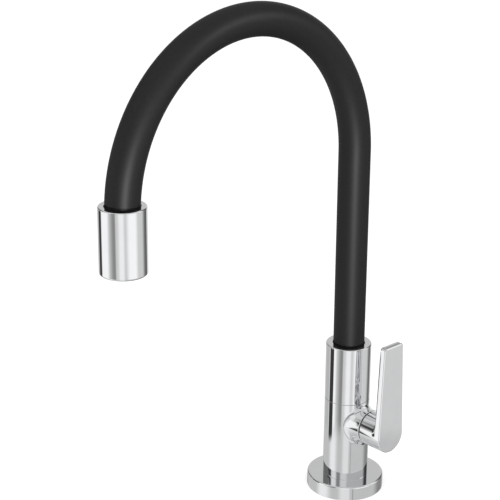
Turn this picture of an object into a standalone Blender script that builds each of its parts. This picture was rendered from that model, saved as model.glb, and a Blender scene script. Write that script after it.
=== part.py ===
"""Deck-mounted cold-water kitchen faucet with a side lever, a swivelling spout and a flexible gooseneck.

Metres, +Z up. The origin is the centre of the foot's underside, on the deck. The spout points towards -Y
and the lever's axis towards +X.
"""

import math

import bmesh
import bpy
from mathutils import Matrix, Vector

# Clearances and cutting
fit_gap = 0.0003
overrun = 0.002
smooth_angle = math.radians(35)

# Facet counts
flange_sides = 36
shell_sides = 28
fine_sides = 20
small_sides = 12
nut_sides = 24
hose_sides = 14
gooseneck_sides = 10
screw_sides = 10
tube_sides = 6
seal_ring_sides = 6
grille_hole_sides = 6
fillet_steps = 4
corner_steps = 4
port_steps = 4
edge_segments = 2

# Foot and clamp set
flange_radius = 0.0295
flange_height = 0.011
flange_edge = 0.0007
flange_rim_width = 0.003
flange_hollow_depth = 0.0035
gasket_standoff = 0.0038
deck_thickness = 0.030
washer_width = 0.0088
rubber_washer_thickness = 0.003
steel_washer_thickness = 0.0015
nut_wall = 0.0028
nut_height = 0.008
nut_chamfer = 0.001
nut_corner_cut = 0.002
shank_radius = 0.0104
shank_wall = 0.0034
shank_reach = 0.058
shank_engagement = 0.0147
shank_chamfer = 0.001

# Valve body and its branch
seam_above_branch = 0.0008
seam_gap = 0.0004
hub_axis_height = 0.0576
hub_radius = 0.0132
branch_length = 0.0075
branch_edge = 0.0004
branch_foot_fillet = 0.0034
branch_root = 0.002
branch_wall = 0.0028
inlet_passage_radius = 0.003
inlet_passage_wall = 0.0007
outlet_passage_radius = 0.0045
inlet_well_margin = 0.001

# Ceramic headwork, in the branch
headwork_setback = 0.001
headwork_length = 0.0295
headwork_thread_length = 0.013
headwork_step = 0.0012
headwork_wall = 0.0016
headwork_ring_section = 0.0016
seat_thickness = 0.0018
seat_bore_radius = 0.0048
disc_thickness = 0.003
disc_hub_radius = 0.0014
disc_rim_width = 0.0011
disc_port_angle = math.radians(70)
window_radius = 0.0026
spindle_plate_thickness = 0.0025
spindle_plate_clearance = 0.0006
spindle_radius = 0.0049
spindle_tip_step = 0.0009
spindle_tip_flat = 0.0005
spindle_grip = 0.007
spindle_groove_depth = 0.0011
spindle_groove_width = 0.002
spindle_groove_from_end = 0.006
circlip_thickness = 0.0008
circlip_width = 0.0018
circlip_open_angle = math.radians(50)

# Lever
lever_reach = 0.021
lever_thickness = 0.0046
lever_rise = 0.0744
lever_top_half_width = 0.0101
lever_corner_radius = 0.0025
lever_edge = 0.0007
hub_gap = 0.0005
hub_wall = 0.0032
hub_recess_depth = 0.005
grub_screw_radius = 0.002
grub_screw_recess = 0.0014
grub_screw_key_radius = 0.001
grub_screw_key_depth = 0.002

# Swivel neck, on the body's axis. Its grooves are placed from the seam upwards
neck_radius = 0.0094
neck_thread_step = 0.0006
neck_bore_radius = 0.0055
neck_floor = 0.0016
neck_groove_depth = 0.0018
neck_groove_width = 0.0024
neck_screw_groove_height = 0.006
neck_ring_rise = 0.006
neck_ring_spacing = 0.0075
neck_land = 0.0038
neck_running_gap = 0.0004
glide_ring_thickness = 0.002

# Swivelling sleeve
sleeve_rim_width = 0.0052
sleeve_wall = 0.002
sleeve_rim_thickness = 0.003
sleeve_edge = 0.0008
socket_floor = 0.0027
swivel_screw_recess = 0.001

# Collars and ferrules at both ends of the hose
collar_step = 0.0006
collar_clearance = 0.0005
collar_stand = 0.002
collar_flange_thickness = 0.002
collar_edge = 0.0005
ferrule_length = 0.0108
ferrule_base = 0.0015

# Hose and water tube
hose_radius = 0.0117
hose_wall = 0.0022
hose_end_relief = 0.0008
hose_edge = 0.0005
hose_shoulder_gap = 0.0009
tube_radius = 0.0036
tube_wall = 0.0011
tube_lap = 0.0015

# Route of the gooseneck
riser_length = 0.1514
arch_mean_radius = 0.1099
arch_turn = math.pi
arch_crown_share = 0.458
arch_steps = 240

# Steel gooseneck inside the hose
bend_count = 8
stations_between_bends = 4
station_margin_share = 0.25
gooseneck_clearance = 0.0005
tube_clearance = 0.0012
cup_wall = 0.0008
ball_clearance = 0.0006
ball_steps = 5
cavity_steps = 4
lip_angle = math.radians(20)
stem_wall = 0.0012
ball_to_shoulder = 0.0068
shoulder_chamfer = 0.0008

# Nozzle
nozzle_rim_width = 0.0041
nozzle_lap = 0.00345
nozzle_wall = 0.0018
nozzle_rim_thickness = 0.003
nozzle_edge = 0.0009
adapter_throat_length = 0.0105
adapter_thread_length = 0.014
adapter_wall = 0.0022
aerator_seal_thickness = 0.002
aerator_seal_bore_radius = 0.0055
aerator_flange_thickness = 0.0036
aerator_recess = 0.0012
aerator_housing_wall = 0.0019
aerator_lip = 0.0011
aerator_wall = 0.001
aerator_floor = 0.0025
aerator_hole_radius = 0.0007
aerator_holes_per_ring = 6
aerator_ring_count = 2

# Radii that follow from the sizes
collar_radius = hose_radius + collar_step
hose_end_radius = hose_radius - hose_end_relief
collar_bore_radius = hose_end_radius + collar_clearance
hose_bore_radius = hose_radius - hose_wall
tube_bore_radius = tube_radius - tube_wall
gooseneck_radius = hose_bore_radius - gooseneck_clearance
gooseneck_bore_radius = tube_radius + tube_clearance
ball_cavity_radius = gooseneck_radius - cup_wall
ball_radius = ball_cavity_radius - ball_clearance
stem_radius = gooseneck_bore_radius + stem_wall
body_radius = collar_radius + sleeve_rim_width
shell_bore = body_radius - sleeve_wall
nozzle_radius = collar_radius + nozzle_rim_width
nozzle_bore = nozzle_radius - nozzle_wall
adapter_thread_radius = nozzle_bore - fit_gap - adapter_wall
aerator_bore_radius = adapter_thread_radius - fit_gap - aerator_housing_wall
neck_thread_radius = neck_radius + neck_thread_step
shank_bore_radius = shank_radius - shank_wall
washer_radius = shank_radius + fit_gap + washer_width
nut_face_radius = shank_radius + fit_gap + nut_wall
headwork_thread_radius = hub_radius - branch_wall
headwork_nose_radius = headwork_thread_radius - headwork_step
disc_chamber_radius = headwork_nose_radius - headwork_wall
disc_radius = disc_chamber_radius - fit_gap
disc_port_radius = disc_radius - disc_rim_width
spindle_plate_radius = disc_chamber_radius - spindle_plate_clearance
spindle_tip_radius = spindle_radius - spindle_tip_step
hub_recess_radius = hub_radius - hub_wall

# Places along the lever's axis
branch_reach = body_radius + branch_length
headwork_end = branch_reach - headwork_setback
headwork_start = headwork_end - headwork_length
headwork_shoulder = headwork_end - headwork_thread_length
seat_start = headwork_start - fit_gap - seat_thickness
cavity_start = seat_start - fit_gap
inlet_passage_reach = cavity_start - inlet_passage_wall - inlet_passage_radius
fixed_disc_end = headwork_start + disc_thickness
moving_disc_start = fixed_disc_end + fit_gap
spindle_start = moving_disc_start + disc_thickness + fit_gap
chamber_end = spindle_start + spindle_plate_thickness + fit_gap
lever_face_reach = branch_reach + lever_reach
lever_back_reach = lever_face_reach - lever_thickness
hub_start = branch_reach + hub_gap
hub_recess_end = hub_start + hub_recess_depth
spindle_end_reach = hub_recess_end + spindle_grip
hub_socket_end = spindle_end_reach + fit_gap
grub_screw_reach = (hub_recess_end + spindle_end_reach) / 2

# Heights, from the foot up to the nozzle
body_bottom = flange_height + fit_gap
seam_height = hub_axis_height + hub_radius + branch_foot_fillet + seam_above_branch
body_top = seam_height - seam_gap / 2
sleeve_bottom = seam_height + seam_gap / 2
neck_bottom = hub_axis_height + headwork_nose_radius + fit_gap + neck_floor
screw_groove = seam_height + neck_screw_groove_height
lower_ring_groove = screw_groove + neck_ring_rise
upper_ring_groove = lower_ring_groove + neck_ring_spacing
neck_top = upper_ring_groove + neck_groove_width + neck_land
glide_ring_bottom = body_top + fit_gap
socket_bottom = glide_ring_bottom + glide_ring_thickness + fit_gap
socket_top = neck_top + fit_gap + socket_floor
ferrule_bottom = socket_top + fit_gap
collar_depth = collar_flange_thickness + fit_gap
sleeve_ceiling = ferrule_bottom + ferrule_length + fit_gap + collar_depth
sleeve_top = sleeve_ceiling + sleeve_rim_thickness
hose_bottom = ferrule_bottom + ferrule_base + fit_gap
arch_start_height = sleeve_top + riser_length

# Distances along the route
arch_length = arch_mean_radius * arch_turn
arch_end = arch_start_height + arch_length
nozzle_start = arch_end - nozzle_lap
bend_pitch = (nozzle_start - sleeve_top) / bend_count
upper_ferrule_start = nozzle_start + nozzle_rim_thickness + collar_depth + fit_gap
hose_end = upper_ferrule_start + ferrule_length - ferrule_base - fit_gap

# Heights in the nozzle, from its rim downwards
adapter_top = -nozzle_rim_thickness - collar_depth - ferrule_length - fit_gap * 2
adapter_step = adapter_top - adapter_throat_length
adapter_bottom = adapter_step - adapter_thread_length
aerator_flange_top = adapter_bottom - fit_gap
aerator_flange_bottom = aerator_flange_top - aerator_flange_thickness
nozzle_bottom = aerator_flange_bottom - aerator_recess


def clear_scene():
    """Remove every object of the file."""
    for old in list(bpy.data.objects):
        bpy.data.objects.remove(old, do_unlink=True)


def finish(name, colour, roughness, metallic):
    """A Principled material."""
    made = bpy.data.materials.new(name)
    made.use_nodes = True
    shader = made.node_tree.nodes["Principled BSDF"]
    shader.inputs["Base Color"].default_value = (*colour, 1)
    shader.inputs["Roughness"].default_value = roughness
    shader.inputs["Metallic"].default_value = metallic
    return made


axis_frames = {}


def axis_empty(name, frame, parent=None):
    """An empty on a joint's axis, carried by the joint before it."""
    empty = bpy.data.objects.new(name, None)
    bpy.context.collection.objects.link(empty)
    empty.hide_render = True
    if parent is None:
        empty.matrix_basis = frame
    else:
        empty.parent = parent
        empty.matrix_basis = axis_frames[parent.name].inverted() @ frame
    axis_frames[name] = frame
    return empty


def add_object(name, mesh, parent=None, material=None):
    """A mesh made in its parent's own coordinates, shaded smooth between its sharp edges."""
    piece = bpy.data.objects.new(name, mesh)
    bpy.context.collection.objects.link(piece)
    piece.parent = parent
    if material is not None:
        mesh.materials.append(material)
        mesh.shade_smooth()
        mesh.set_sharp_from_angle(angle=smooth_angle)
    return piece


def cutter_object(name, mesh, parent=None):
    """A guide that cuts or joins another piece and isn't a piece itself."""
    guide = add_object(name, mesh, parent)
    guide.hide_render = True
    guide.display_type = "WIRE"
    return guide


def boolean(piece, guide, operation):
    """One live Boolean step."""
    step = piece.modifiers.new(guide.name, "BOOLEAN")
    step.operation = operation
    step.solver = "EXACT"
    step.object = guide


def cut_all(piece, guides):
    """One live Boolean step that takes away several guides at once."""
    group = bpy.data.collections.new(f"{piece.name}_cuts")
    for guide in guides:
        group.objects.link(guide)
    step = piece.modifiers.new(group.name, "BOOLEAN")
    step.operation = "DIFFERENCE"
    step.solver = "EXACT"
    step.operand_type = "COLLECTION"
    step.collection = group


def loft(name, rings, closed):
    """A closed skin over rings of points. A ring of one point is a pole."""
    skin = bmesh.new()
    loops = [[skin.verts.new(point) for point in ring] for ring in rings]
    pairs = list(zip(loops, loops[1:]))
    if closed:
        pairs.append((loops[-1], loops[0]))
    for first, second in pairs:
        count = max(len(first), len(second))
        for i in range(count):
            j = (i + 1) % count
            corners = []
            for vertex in (
                first[i % len(first)],
                first[j % len(first)],
                second[j % len(second)],
                second[i % len(second)],
            ):
                if vertex not in corners:
                    corners.append(vertex)
            skin.faces.new(corners)
    bmesh.ops.recalc_face_normals(skin, faces=skin.faces)
    mesh = bpy.data.meshes.new(name)
    skin.to_mesh(mesh)
    skin.free()
    return mesh


def circle(radius, height, sides, phase=0):
    """Points of a circle about the local Z axis, or its one centre point."""
    if radius == 0:
        return [Vector((0, 0, height))]
    step = math.tau / sides
    turns = [step * (i + phase) for i in range(sides)]
    return [Vector((radius * math.cos(turn), radius * math.sin(turn), height)) for turn in turns]


def turned(name, outline, sides, phase=0):
    """A revolved solid from its (radius, height) outline, closed at poles or round a bore."""
    closed = outline[0][0] != 0
    return loft(name, [circle(radius, height, sides, phase) for radius, height in outline], closed)


def along_x(mesh):
    """Turns a mesh made about Z so that it lies about X."""
    mesh.transform(Matrix.Rotation(math.pi / 2, 4, "Y"))
    return mesh


def along_y(mesh):
    """Turns a mesh made about Z so that it lies about Y, its top towards +Y."""
    mesh.transform(Matrix.Rotation(-math.pi / 2, 4, "X"))
    return mesh


def shifted(mesh, x, y, z):
    """Moves a mesh in its parent's coordinates."""
    mesh.transform(Matrix.Translation((x, y, z)))
    return mesh


def ring_outline(inner, outer, bottom, top):
    """The outline of a plain ring."""
    return [(inner, bottom), (outer, bottom), (outer, top), (inner, top)]


def eased_edge(radius, height, ease, inward):
    """Three outline points that round an outer edge. Inward is +1 with the solid above, -1 with it below."""
    diagonal = ease * (1 - math.sqrt(0.5))
    return [
        (radius, height + inward * ease),
        (radius - diagonal, height + inward * diagonal),
        (radius - ease, height),
    ]


def rubber_ring(name, inner, outer, centre, half_width):
    """A sealing ring with a rounded section."""
    middle = (inner + outer) / 2
    half = (outer - inner) / 2
    section = []
    for i in range(seal_ring_sides):
        turn = math.tau * i / seal_ring_sides
        section.append((middle + half * math.cos(turn), centre + half_width * math.sin(turn)))
    return turned(name, section, small_sides)


# Route of the gooseneck, from the deck up the riser, over the arch and down


def arch_heading(share):
    """Heading at a share of the arch: tighter at the crown than at its feet."""
    lean = share - 0.5
    ease = lean**3 / 3 + 1 / 24 - share / 12
    return arch_turn * (share - arch_crown_share * ease)


def arch_points():
    """Points of the arch, summed along its heading."""
    points = [Vector((0, 0, arch_start_height))]
    step = arch_length / arch_steps
    for i in range(arch_steps):
        heading = arch_heading((i + 0.5) / arch_steps)
        points.append(points[-1] + step * Vector((0, -math.sin(heading), math.cos(heading))))
    return points


arch = arch_points()


def on_route(distance):
    """The frame at a distance along the route, its Z axis along the water's way."""
    if distance <= arch_start_height:
        return Matrix.Translation((0, 0, distance))
    share = min((distance - arch_start_height) / arch_length, 1)
    place = share * arch_steps
    before = min(int(place), arch_steps - 1)
    point = arch[before].lerp(arch[before + 1], place - before)
    heading = arch_heading(share)
    beyond = max(distance - arch_end, 0)
    frame = Matrix.Translation(point) @ Matrix.Rotation(heading, 4, "X")
    return frame @ Matrix.Translation((0, 0, beyond))


def bend_distance(number):
    """Distance of a bend along the route."""
    return sleeve_top + bend_pitch * (number - 0.5)


station_step = bend_pitch / stations_between_bends
stations = [sleeve_top + station_step * i for i in range(bend_count * stations_between_bends)]
stations += [nozzle_start - collar_stand - hose_shoulder_gap, arch_end]


def between(low, high):
    """The shared stations strictly between two distances."""
    margin = station_step * station_margin_share
    return [s for s in stations if low + margin < s < high - margin]


def on_chords(distance):
    """The frame at a distance along the chords between the shared stations."""
    for low, high in zip(stations, stations[1:]):
        if low <= distance <= high:
            share = (distance - low) / (high - low)
            return on_route(low).lerp(on_route(high), share)
    return on_route(distance)


def route_ring(frame, radius, sides, height=0):
    """A circle square to the route in a frame on it."""
    return [frame @ point for point in circle(radius, height, sides, 0.5)]


def route_skin(name, rings, frame):
    """A swept solid with its points in the coordinates of the frame that carries it."""
    back = frame.inverted()
    return loft(name, [[back @ point for point in ring] for ring in rings], True)


# Foot and clamp set


def add_foot(chrome, rubber):
    """The hollow foot flange and the gasket that it presses on the deck."""
    hollow_radius = flange_radius - flange_rim_width
    hole_radius = shank_radius + fit_gap
    outline = [(hole_radius, flange_hollow_depth), (hollow_radius, flange_hollow_depth)]
    outline += [(hollow_radius, 0), (flange_radius, 0)]
    outline += eased_edge(flange_radius, flange_height, flange_edge, -1)
    outline += [(hole_radius, flange_height)]
    add_object("base_flange", turned("base_flange", outline, flange_sides), None, chrome)

    gasket_bore = shank_radius + gasket_standoff
    gasket = ring_outline(gasket_bore, hollow_radius - fit_gap, 0, flange_hollow_depth - fit_gap)
    add_object("deck_gasket", turned("deck_gasket", gasket, fine_sides), None, rubber)


def add_clamp_set(rubber, brass, steel):
    """The threaded shank, and the washers and nut that pull the foot down on the deck."""
    shank_top = body_bottom + shank_engagement
    shank = [(shank_bore_radius, -shank_reach), (shank_radius - shank_chamfer, -shank_reach)]
    shank += [(shank_radius, -shank_reach + shank_chamfer), (shank_radius, shank_top)]
    shank += [(shank_bore_radius, shank_top)]
    add_object("threaded_shank", turned("threaded_shank", shank, fine_sides), None, brass)

    bore = shank_radius + fit_gap
    rubber_top = -deck_thickness - fit_gap
    rubber_bottom = rubber_top - rubber_washer_thickness
    outline = ring_outline(bore, washer_radius, rubber_bottom, rubber_top)
    add_object("rubber_washer", turned("rubber_washer", outline, fine_sides), None, rubber)
    steel_top = rubber_bottom - fit_gap
    steel_bottom = steel_top - steel_washer_thickness
    outline = ring_outline(bore, washer_radius, steel_bottom, steel_top)
    add_object("steel_washer", turned("steel_washer", outline, fine_sides), None, steel)

    nut_top = steel_bottom - fit_gap
    add_object("lock_nut", nut_mesh(bore, nut_top - nut_height, nut_top), None, brass)


def nut_mesh(bore, bottom, top):
    """A hexagon nut: six flats, chamfered corners and a round bore."""
    corner_radius = nut_face_radius / math.cos(math.pi / 6)
    low = bottom + nut_chamfer
    high = top - nut_chamfer
    rings = []
    for height, chamfered in ((bottom, True), (low, False), (high, False), (top, True)):
        ring = []
        for i in range(nut_sides):
            turn = math.tau * i / nut_sides
            off_flat = (turn + math.pi / 6) % (math.pi / 3) - math.pi / 6
            reach = nut_face_radius / math.cos(off_flat)
            if chamfered:
                reach = min(reach, corner_radius - nut_corner_cut)
            ring.append(Vector((reach * math.cos(turn), reach * math.sin(turn), height)))
        rings.append(ring)
    rings.append(circle(bore, top, nut_sides))
    rings.append(circle(bore, bottom, nut_sides))
    return loft("lock_nut", rings, True)


# Valve body


def branch_mesh():
    """The side branch, its foot rolled into the round body by a ball of the fillet's radius."""
    rings = []
    turns = [math.tau * i / fine_sides for i in range(fine_sides)]

    def about_axis(x, radius):
        return [Vector((x, -radius * math.sin(turn), radius * math.cos(turn))) for turn in turns]

    rings.append([Vector((branch_reach, 0, 0))])
    rings.append(about_axis(branch_reach, hub_radius - branch_edge))
    rings.append(about_axis(branch_reach - branch_edge, hub_radius))
    around_branch = hub_radius + branch_foot_fillet
    around_body = body_radius + branch_foot_fillet
    for step in range(fillet_steps):
        ring = []
        for turn in turns:
            across = -around_branch * math.sin(turn)
            out = math.sqrt(around_body**2 - across**2)
            ball = Vector((out, across, around_branch * math.cos(turn)))
            to_branch = Vector((0, -ball.y, -ball.z)).normalized()
            to_body = Vector((-ball.x, -ball.y, 0)).normalized()
            ring.append(ball + branch_foot_fillet * to_branch.slerp(to_body, step / (fillet_steps - 0.5)))
        rings.append(ring)
    rings.append(about_axis(branch_root, hub_radius - fit_gap))
    rings.append([Vector((branch_root, 0, 0))])
    return shifted(loft("branch", rings, False), 0, 0, hub_axis_height)


def add_valve_body(chrome):
    """The round body with its branch, the wells for shank, neck and headwork, and the way in between."""
    column = [(0, body_bottom), (body_radius, body_bottom), (body_radius, body_top), (0, body_top)]
    body = add_object("valve_body", turned("valve_body", column, shell_sides, 0.5), None, chrome)
    boolean(body, cutter_object("branch_form", branch_mesh()), "UNION")

    well_top = body_bottom + shank_engagement + inlet_well_margin
    inlet_radius = shank_radius + fit_gap
    well = [(0, body_bottom - overrun), (inlet_radius, body_bottom - overrun)]
    well += [(inlet_radius, well_top), (0, well_top)]
    well_mesh = turned("inlet_well", well, fine_sides)

    rise_bottom = well_top - overrun
    rise_top = hub_axis_height + inlet_passage_radius + fit_gap
    rise = [(0, rise_bottom), (inlet_passage_radius, rise_bottom)]
    rise += [(inlet_passage_radius, rise_top), (0, rise_top)]
    rise_mesh = shifted(turned("inlet_rise", rise, small_sides), inlet_passage_reach, 0, 0)

    cross = [(0, inlet_passage_reach), (inlet_passage_radius, inlet_passage_reach)]
    cross += [(inlet_passage_radius, cavity_start + overrun), (0, cavity_start + overrun)]
    cross_mesh = shifted(along_x(turned("inlet_cross", cross, small_sides)), 0, 0, hub_axis_height)

    cavity = [(0, cavity_start), (headwork_nose_radius + fit_gap, cavity_start)]
    cavity += [(headwork_nose_radius + fit_gap, headwork_shoulder - fit_gap)]
    cavity += [(headwork_thread_radius + fit_gap, headwork_shoulder - fit_gap)]
    cavity += [(headwork_thread_radius + fit_gap, branch_reach + overrun), (0, branch_reach + overrun)]
    cavity_mesh = shifted(along_x(turned("headwork_cavity", cavity, fine_sides)), 0, 0, hub_axis_height)

    bore = neck_thread_radius + fit_gap
    bore_floor = neck_bottom - fit_gap
    outlet = [(0, hub_axis_height), (outlet_passage_radius, hub_axis_height)]
    outlet += [(outlet_passage_radius, bore_floor), (bore, bore_floor)]
    outlet += [(bore, body_top + overrun), (0, body_top + overrun)]
    outlet_mesh = turned("outlet_well", outlet, fine_sides)

    cuts = [well_mesh, rise_mesh, cross_mesh, cavity_mesh, outlet_mesh]
    cut_all(body, [cutter_object(mesh.name, mesh) for mesh in cuts])


def add_swivel_neck(brass, rubber):
    """The neck that the spout turns on. Its grooves hold two rings and let the swivel's screw run round."""
    floor = neck_radius - neck_groove_depth
    grooves = []
    for low in (screw_groove, lower_ring_groove, upper_ring_groove):
        high = low + neck_groove_width
        grooves += [(neck_radius, low), (floor, low), (floor, high), (neck_radius, high)]
    neck = [(neck_bore_radius, neck_bottom), (neck_thread_radius, neck_bottom)]
    neck += [(neck_thread_radius, body_top), (neck_radius, body_top)] + grooves
    neck += [(neck_radius, neck_top), (neck_bore_radius, neck_top)]
    add_object("swivel_neck", turned("swivel_neck", neck, fine_sides), None, brass)

    inner = floor + fit_gap
    outer = neck_radius + neck_running_gap - fit_gap
    for name, low in (("neck_o_ring_lower", lower_ring_groove), ("neck_o_ring_upper", upper_ring_groove)):
        centre = low + neck_groove_width / 2
        ring = rubber_ring(name, inner, outer, centre, neck_groove_width / 2 - fit_gap)
        add_object(name, ring, None, rubber)


def add_glide_ring(plastic):
    """The ring in the seam that the spout's socket slides on."""
    inner = neck_thread_radius + fit_gap * 2
    top = glide_ring_bottom + glide_ring_thickness
    outline = ring_outline(inner, shell_bore - fit_gap, glide_ring_bottom, top)
    add_object("seam_glide_ring", turned("seam_glide_ring", outline, fine_sides), None, plastic)


# Ceramic headwork


def add_headwork(brass, rubber, ceramic):
    """The screwed-in headwork with its window, its two rubber seals and the disc that stands still."""
    groove = headwork_shoulder - headwork_ring_section
    groove_floor = headwork_nose_radius - headwork_ring_section / 2
    shaft_bore = spindle_radius + fit_gap
    body = [(disc_chamber_radius, headwork_start), (headwork_nose_radius, headwork_start)]
    body += [(headwork_nose_radius, groove), (groove_floor, groove), (groove_floor, headwork_shoulder)]
    body += [(headwork_thread_radius, headwork_shoulder), (headwork_thread_radius, headwork_end)]
    body += [(shaft_bore, headwork_end), (shaft_bore, chamber_end), (disc_chamber_radius, chamber_end)]
    mesh = shifted(along_x(turned("headwork_body", body, fine_sides)), 0, 0, hub_axis_height)
    piece = add_object("headwork_body", mesh, None, brass)
    reach = headwork_nose_radius + overrun
    outline = [(0, -reach), (window_radius, -reach), (window_radius, reach), (0, reach)]
    window = turned("water_window", outline, small_sides)
    shifted(window, moving_disc_start + window_radius, 0, hub_axis_height)
    boolean(piece, cutter_object("water_window", window), "DIFFERENCE")

    centre = (groove + headwork_shoulder) / 2
    half_width = headwork_ring_section / 2 - fit_gap
    ring = rubber_ring("headwork_o_ring", groove_floor + fit_gap, headwork_nose_radius, centre, half_width)
    add_object("headwork_o_ring", shifted(along_x(ring), 0, 0, hub_axis_height), None, rubber)

    outline = ring_outline(seat_bore_radius, headwork_nose_radius, seat_start, seat_start + seat_thickness)
    seat = shifted(along_x(turned("seat_seal", outline, fine_sides)), 0, 0, hub_axis_height)
    add_object("seat_seal", seat, None, rubber)

    disc = shifted(disc_mesh("fixed_ceramic_disc", headwork_start, math.pi / 2), 0, 0, hub_axis_height)
    add_object("fixed_ceramic_disc", disc, None, ceramic)


def disc_mesh(name, start, first_turn):
    """A ceramic disc about X with two opposite sector ports."""
    skin = bmesh.new()
    levels = []
    for x in (start, start + disc_thickness):
        turns = [math.tau * i / fine_sides for i in range(fine_sides)]
        loops = [[skin.verts.new((x, *flat(disc_radius, turn))) for turn in turns]]
        for half in (0, math.pi):
            port = []
            for i in range(port_steps + 1):
                turn = first_turn + half + disc_port_angle * (i / port_steps - 0.5)
                port.append(skin.verts.new((x, *flat(disc_port_radius, turn))))
            for edge in (0.5, -0.5):
                turn = first_turn + half + disc_port_angle * edge
                port.append(skin.verts.new((x, *flat(disc_hub_radius, turn))))
            loops.append(port)
        levels.append(loops)
    for low, high in zip(*levels):
        for i in range(len(low)):
            skin.faces.new((low[i - 1], low[i], high[i], high[i - 1]))
    for loops in levels:
        edges = [skin.edges.get((loop[i - 1], loop[i])) for loop in loops for i in range(len(loop))]
        bmesh.ops.triangle_fill(skin, use_beauty=True, use_dissolve=False, edges=edges)
    bmesh.ops.recalc_face_normals(skin, faces=skin.faces)
    mesh = bpy.data.meshes.new(name)
    skin.to_mesh(mesh)
    skin.free()
    return mesh


def flat(radius, turn):
    """Y and Z of a point about the X axis."""
    return radius * math.cos(turn), radius * math.sin(turn)


# Lever and what turns with it


def lever_mesh():
    """One casting: hub, recess and spindle socket, and the plate, whose foot is the hub's own lower half."""
    sides = shell_sides
    half = sides // 2
    skin = bmesh.new()

    def ring(x, radius):
        return [skin.verts.new((x, *flat(radius, math.tau * i / sides))) for i in range(sides)]

    upper = []
    for side in (1, -1):
        corner = []
        for i in range(corner_steps + 1):
            turn = math.pi / 2 * i / corner_steps
            y = lever_top_half_width - lever_corner_radius * (1 - math.cos(turn))
            z = lever_rise - lever_corner_radius * (1 - math.sin(turn))
            corner.append((side * y, z))
        upper += corner if side == 1 else corner[::-1]

    back_circle = ring(lever_back_reach, hub_radius)
    lower_back = back_circle[half:] + back_circle[:1]
    upper_back = [skin.verts.new((lever_back_reach, y, z)) for y, z in upper]
    lower_face = [skin.verts.new((lever_face_reach, v.co.y, v.co.z)) for v in lower_back]
    upper_face = [skin.verts.new((lever_face_reach, y, z)) for y, z in upper]
    face_loop = lower_face + upper_face
    back_loop = lower_back + upper_back
    skin.faces.new(face_loop)
    skin.faces.new(back_circle[: half + 1] + upper_back[::-1])
    for i in range(len(face_loop)):
        j = (i + 1) % len(face_loop)
        skin.faces.new((back_loop[i], back_loop[j], face_loop[j], face_loop[i]))

    socket_radius = spindle_tip_radius + fit_gap
    rings = [
        back_circle,
        ring(hub_start, hub_radius),
        ring(hub_start, hub_recess_radius),
        ring(hub_recess_end, hub_recess_radius),
        ring(hub_recess_end, socket_radius),
        ring(hub_socket_end, socket_radius),
    ]
    for first, second in zip(rings, rings[1:]):
        for i in range(sides):
            j = (i + 1) % sides
            skin.faces.new((first[i], first[j], second[j], second[i]))
    skin.faces.new(rings[-1])
    bmesh.ops.recalc_face_normals(skin, faces=skin.faces)
    face_edges = [skin.edges.get((face_loop[i - 1], face_loop[i])) for i in range(len(face_loop))]
    bmesh.ops.bevel(
        skin, geom=face_edges, offset=lever_edge, segments=edge_segments, profile=0.5, affect="EDGES"
    )
    mesh = bpy.data.meshes.new("lever")
    skin.to_mesh(mesh)
    skin.free()
    return mesh


def grub_screw_mesh(name, length):
    """A set screw about Z from its tip at zero, with a key socket in its head."""
    key_floor = length - grub_screw_key_depth
    tip_radius = grub_screw_radius / 2
    outline = [(0, 0), (tip_radius, 0), (grub_screw_radius, tip_radius), (grub_screw_radius, length)]
    outline += [(grub_screw_key_radius, length), (grub_screw_key_radius, key_floor), (0, key_floor)]
    return turned(name, outline, screw_sides)


def add_lever(turning, chrome, steel):
    """The lever and the screw that locks it on the spindle's tip."""
    lever = add_object("lever", lever_mesh(), turning, chrome)
    hole_radius = grub_screw_radius + fit_gap
    hole = [(0, 0), (hole_radius, 0), (hole_radius, hub_radius + overrun), (0, hub_radius + overrun)]
    hole_mesh = shifted(along_y(turned("grub_screw_hole", hole, small_sides)), grub_screw_reach, 0, 0)
    boolean(lever, cutter_object("grub_screw_hole", hole_mesh, turning), "DIFFERENCE")
    tip = spindle_tip_radius + fit_gap
    screw = along_y(grub_screw_mesh("lever_grub_screw", hub_radius - tip - grub_screw_recess))
    shifted(screw, grub_screw_reach, tip, 0)
    add_object("lever_grub_screw", screw, turning, steel)


def add_spindle(turning, brass, rubber, steel, ceramic):
    """The spindle with its seal and retaining ring, and the disc that turns with it."""
    groove_start = headwork_end - spindle_groove_from_end - spindle_groove_width
    groove_end = groove_start + spindle_groove_width
    groove_radius = spindle_radius - spindle_groove_depth
    clip_start = headwork_end + fit_gap
    clip_end = clip_start + circlip_thickness
    clip_floor = spindle_tip_radius - spindle_tip_flat
    spindle = [(0, spindle_start), (spindle_plate_radius, spindle_start)]
    spindle += [(spindle_plate_radius, spindle_start + spindle_plate_thickness)]
    spindle += [(spindle_radius, spindle_start + spindle_plate_thickness), (spindle_radius, groove_start)]
    spindle += [(groove_radius, groove_start), (groove_radius, groove_end), (spindle_radius, groove_end)]
    spindle += [(spindle_radius, clip_start - fit_gap), (clip_floor, clip_start - fit_gap)]
    spindle += [(clip_floor, clip_end + fit_gap), (spindle_tip_radius, clip_end + fit_gap)]
    spindle += [(spindle_tip_radius, spindle_end_reach), (0, spindle_end_reach)]
    add_object("valve_spindle", along_x(turned("valve_spindle", spindle, small_sides)), turning, brass)

    centre = (groove_start + groove_end) / 2
    half_width = spindle_groove_width / 2 - fit_gap
    ring = rubber_ring("spindle_o_ring", groove_radius + fit_gap, spindle_radius, centre, half_width)
    add_object("spindle_o_ring", along_x(ring), turning, rubber)

    clip = circlip_mesh(clip_floor + fit_gap, clip_floor + fit_gap + circlip_width, clip_start, clip_end)
    add_object("spindle_circlip", clip, turning, steel)

    disc = disc_mesh("moving_ceramic_disc", moving_disc_start, 0)
    add_object("moving_ceramic_disc", disc, turning, ceramic)


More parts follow.
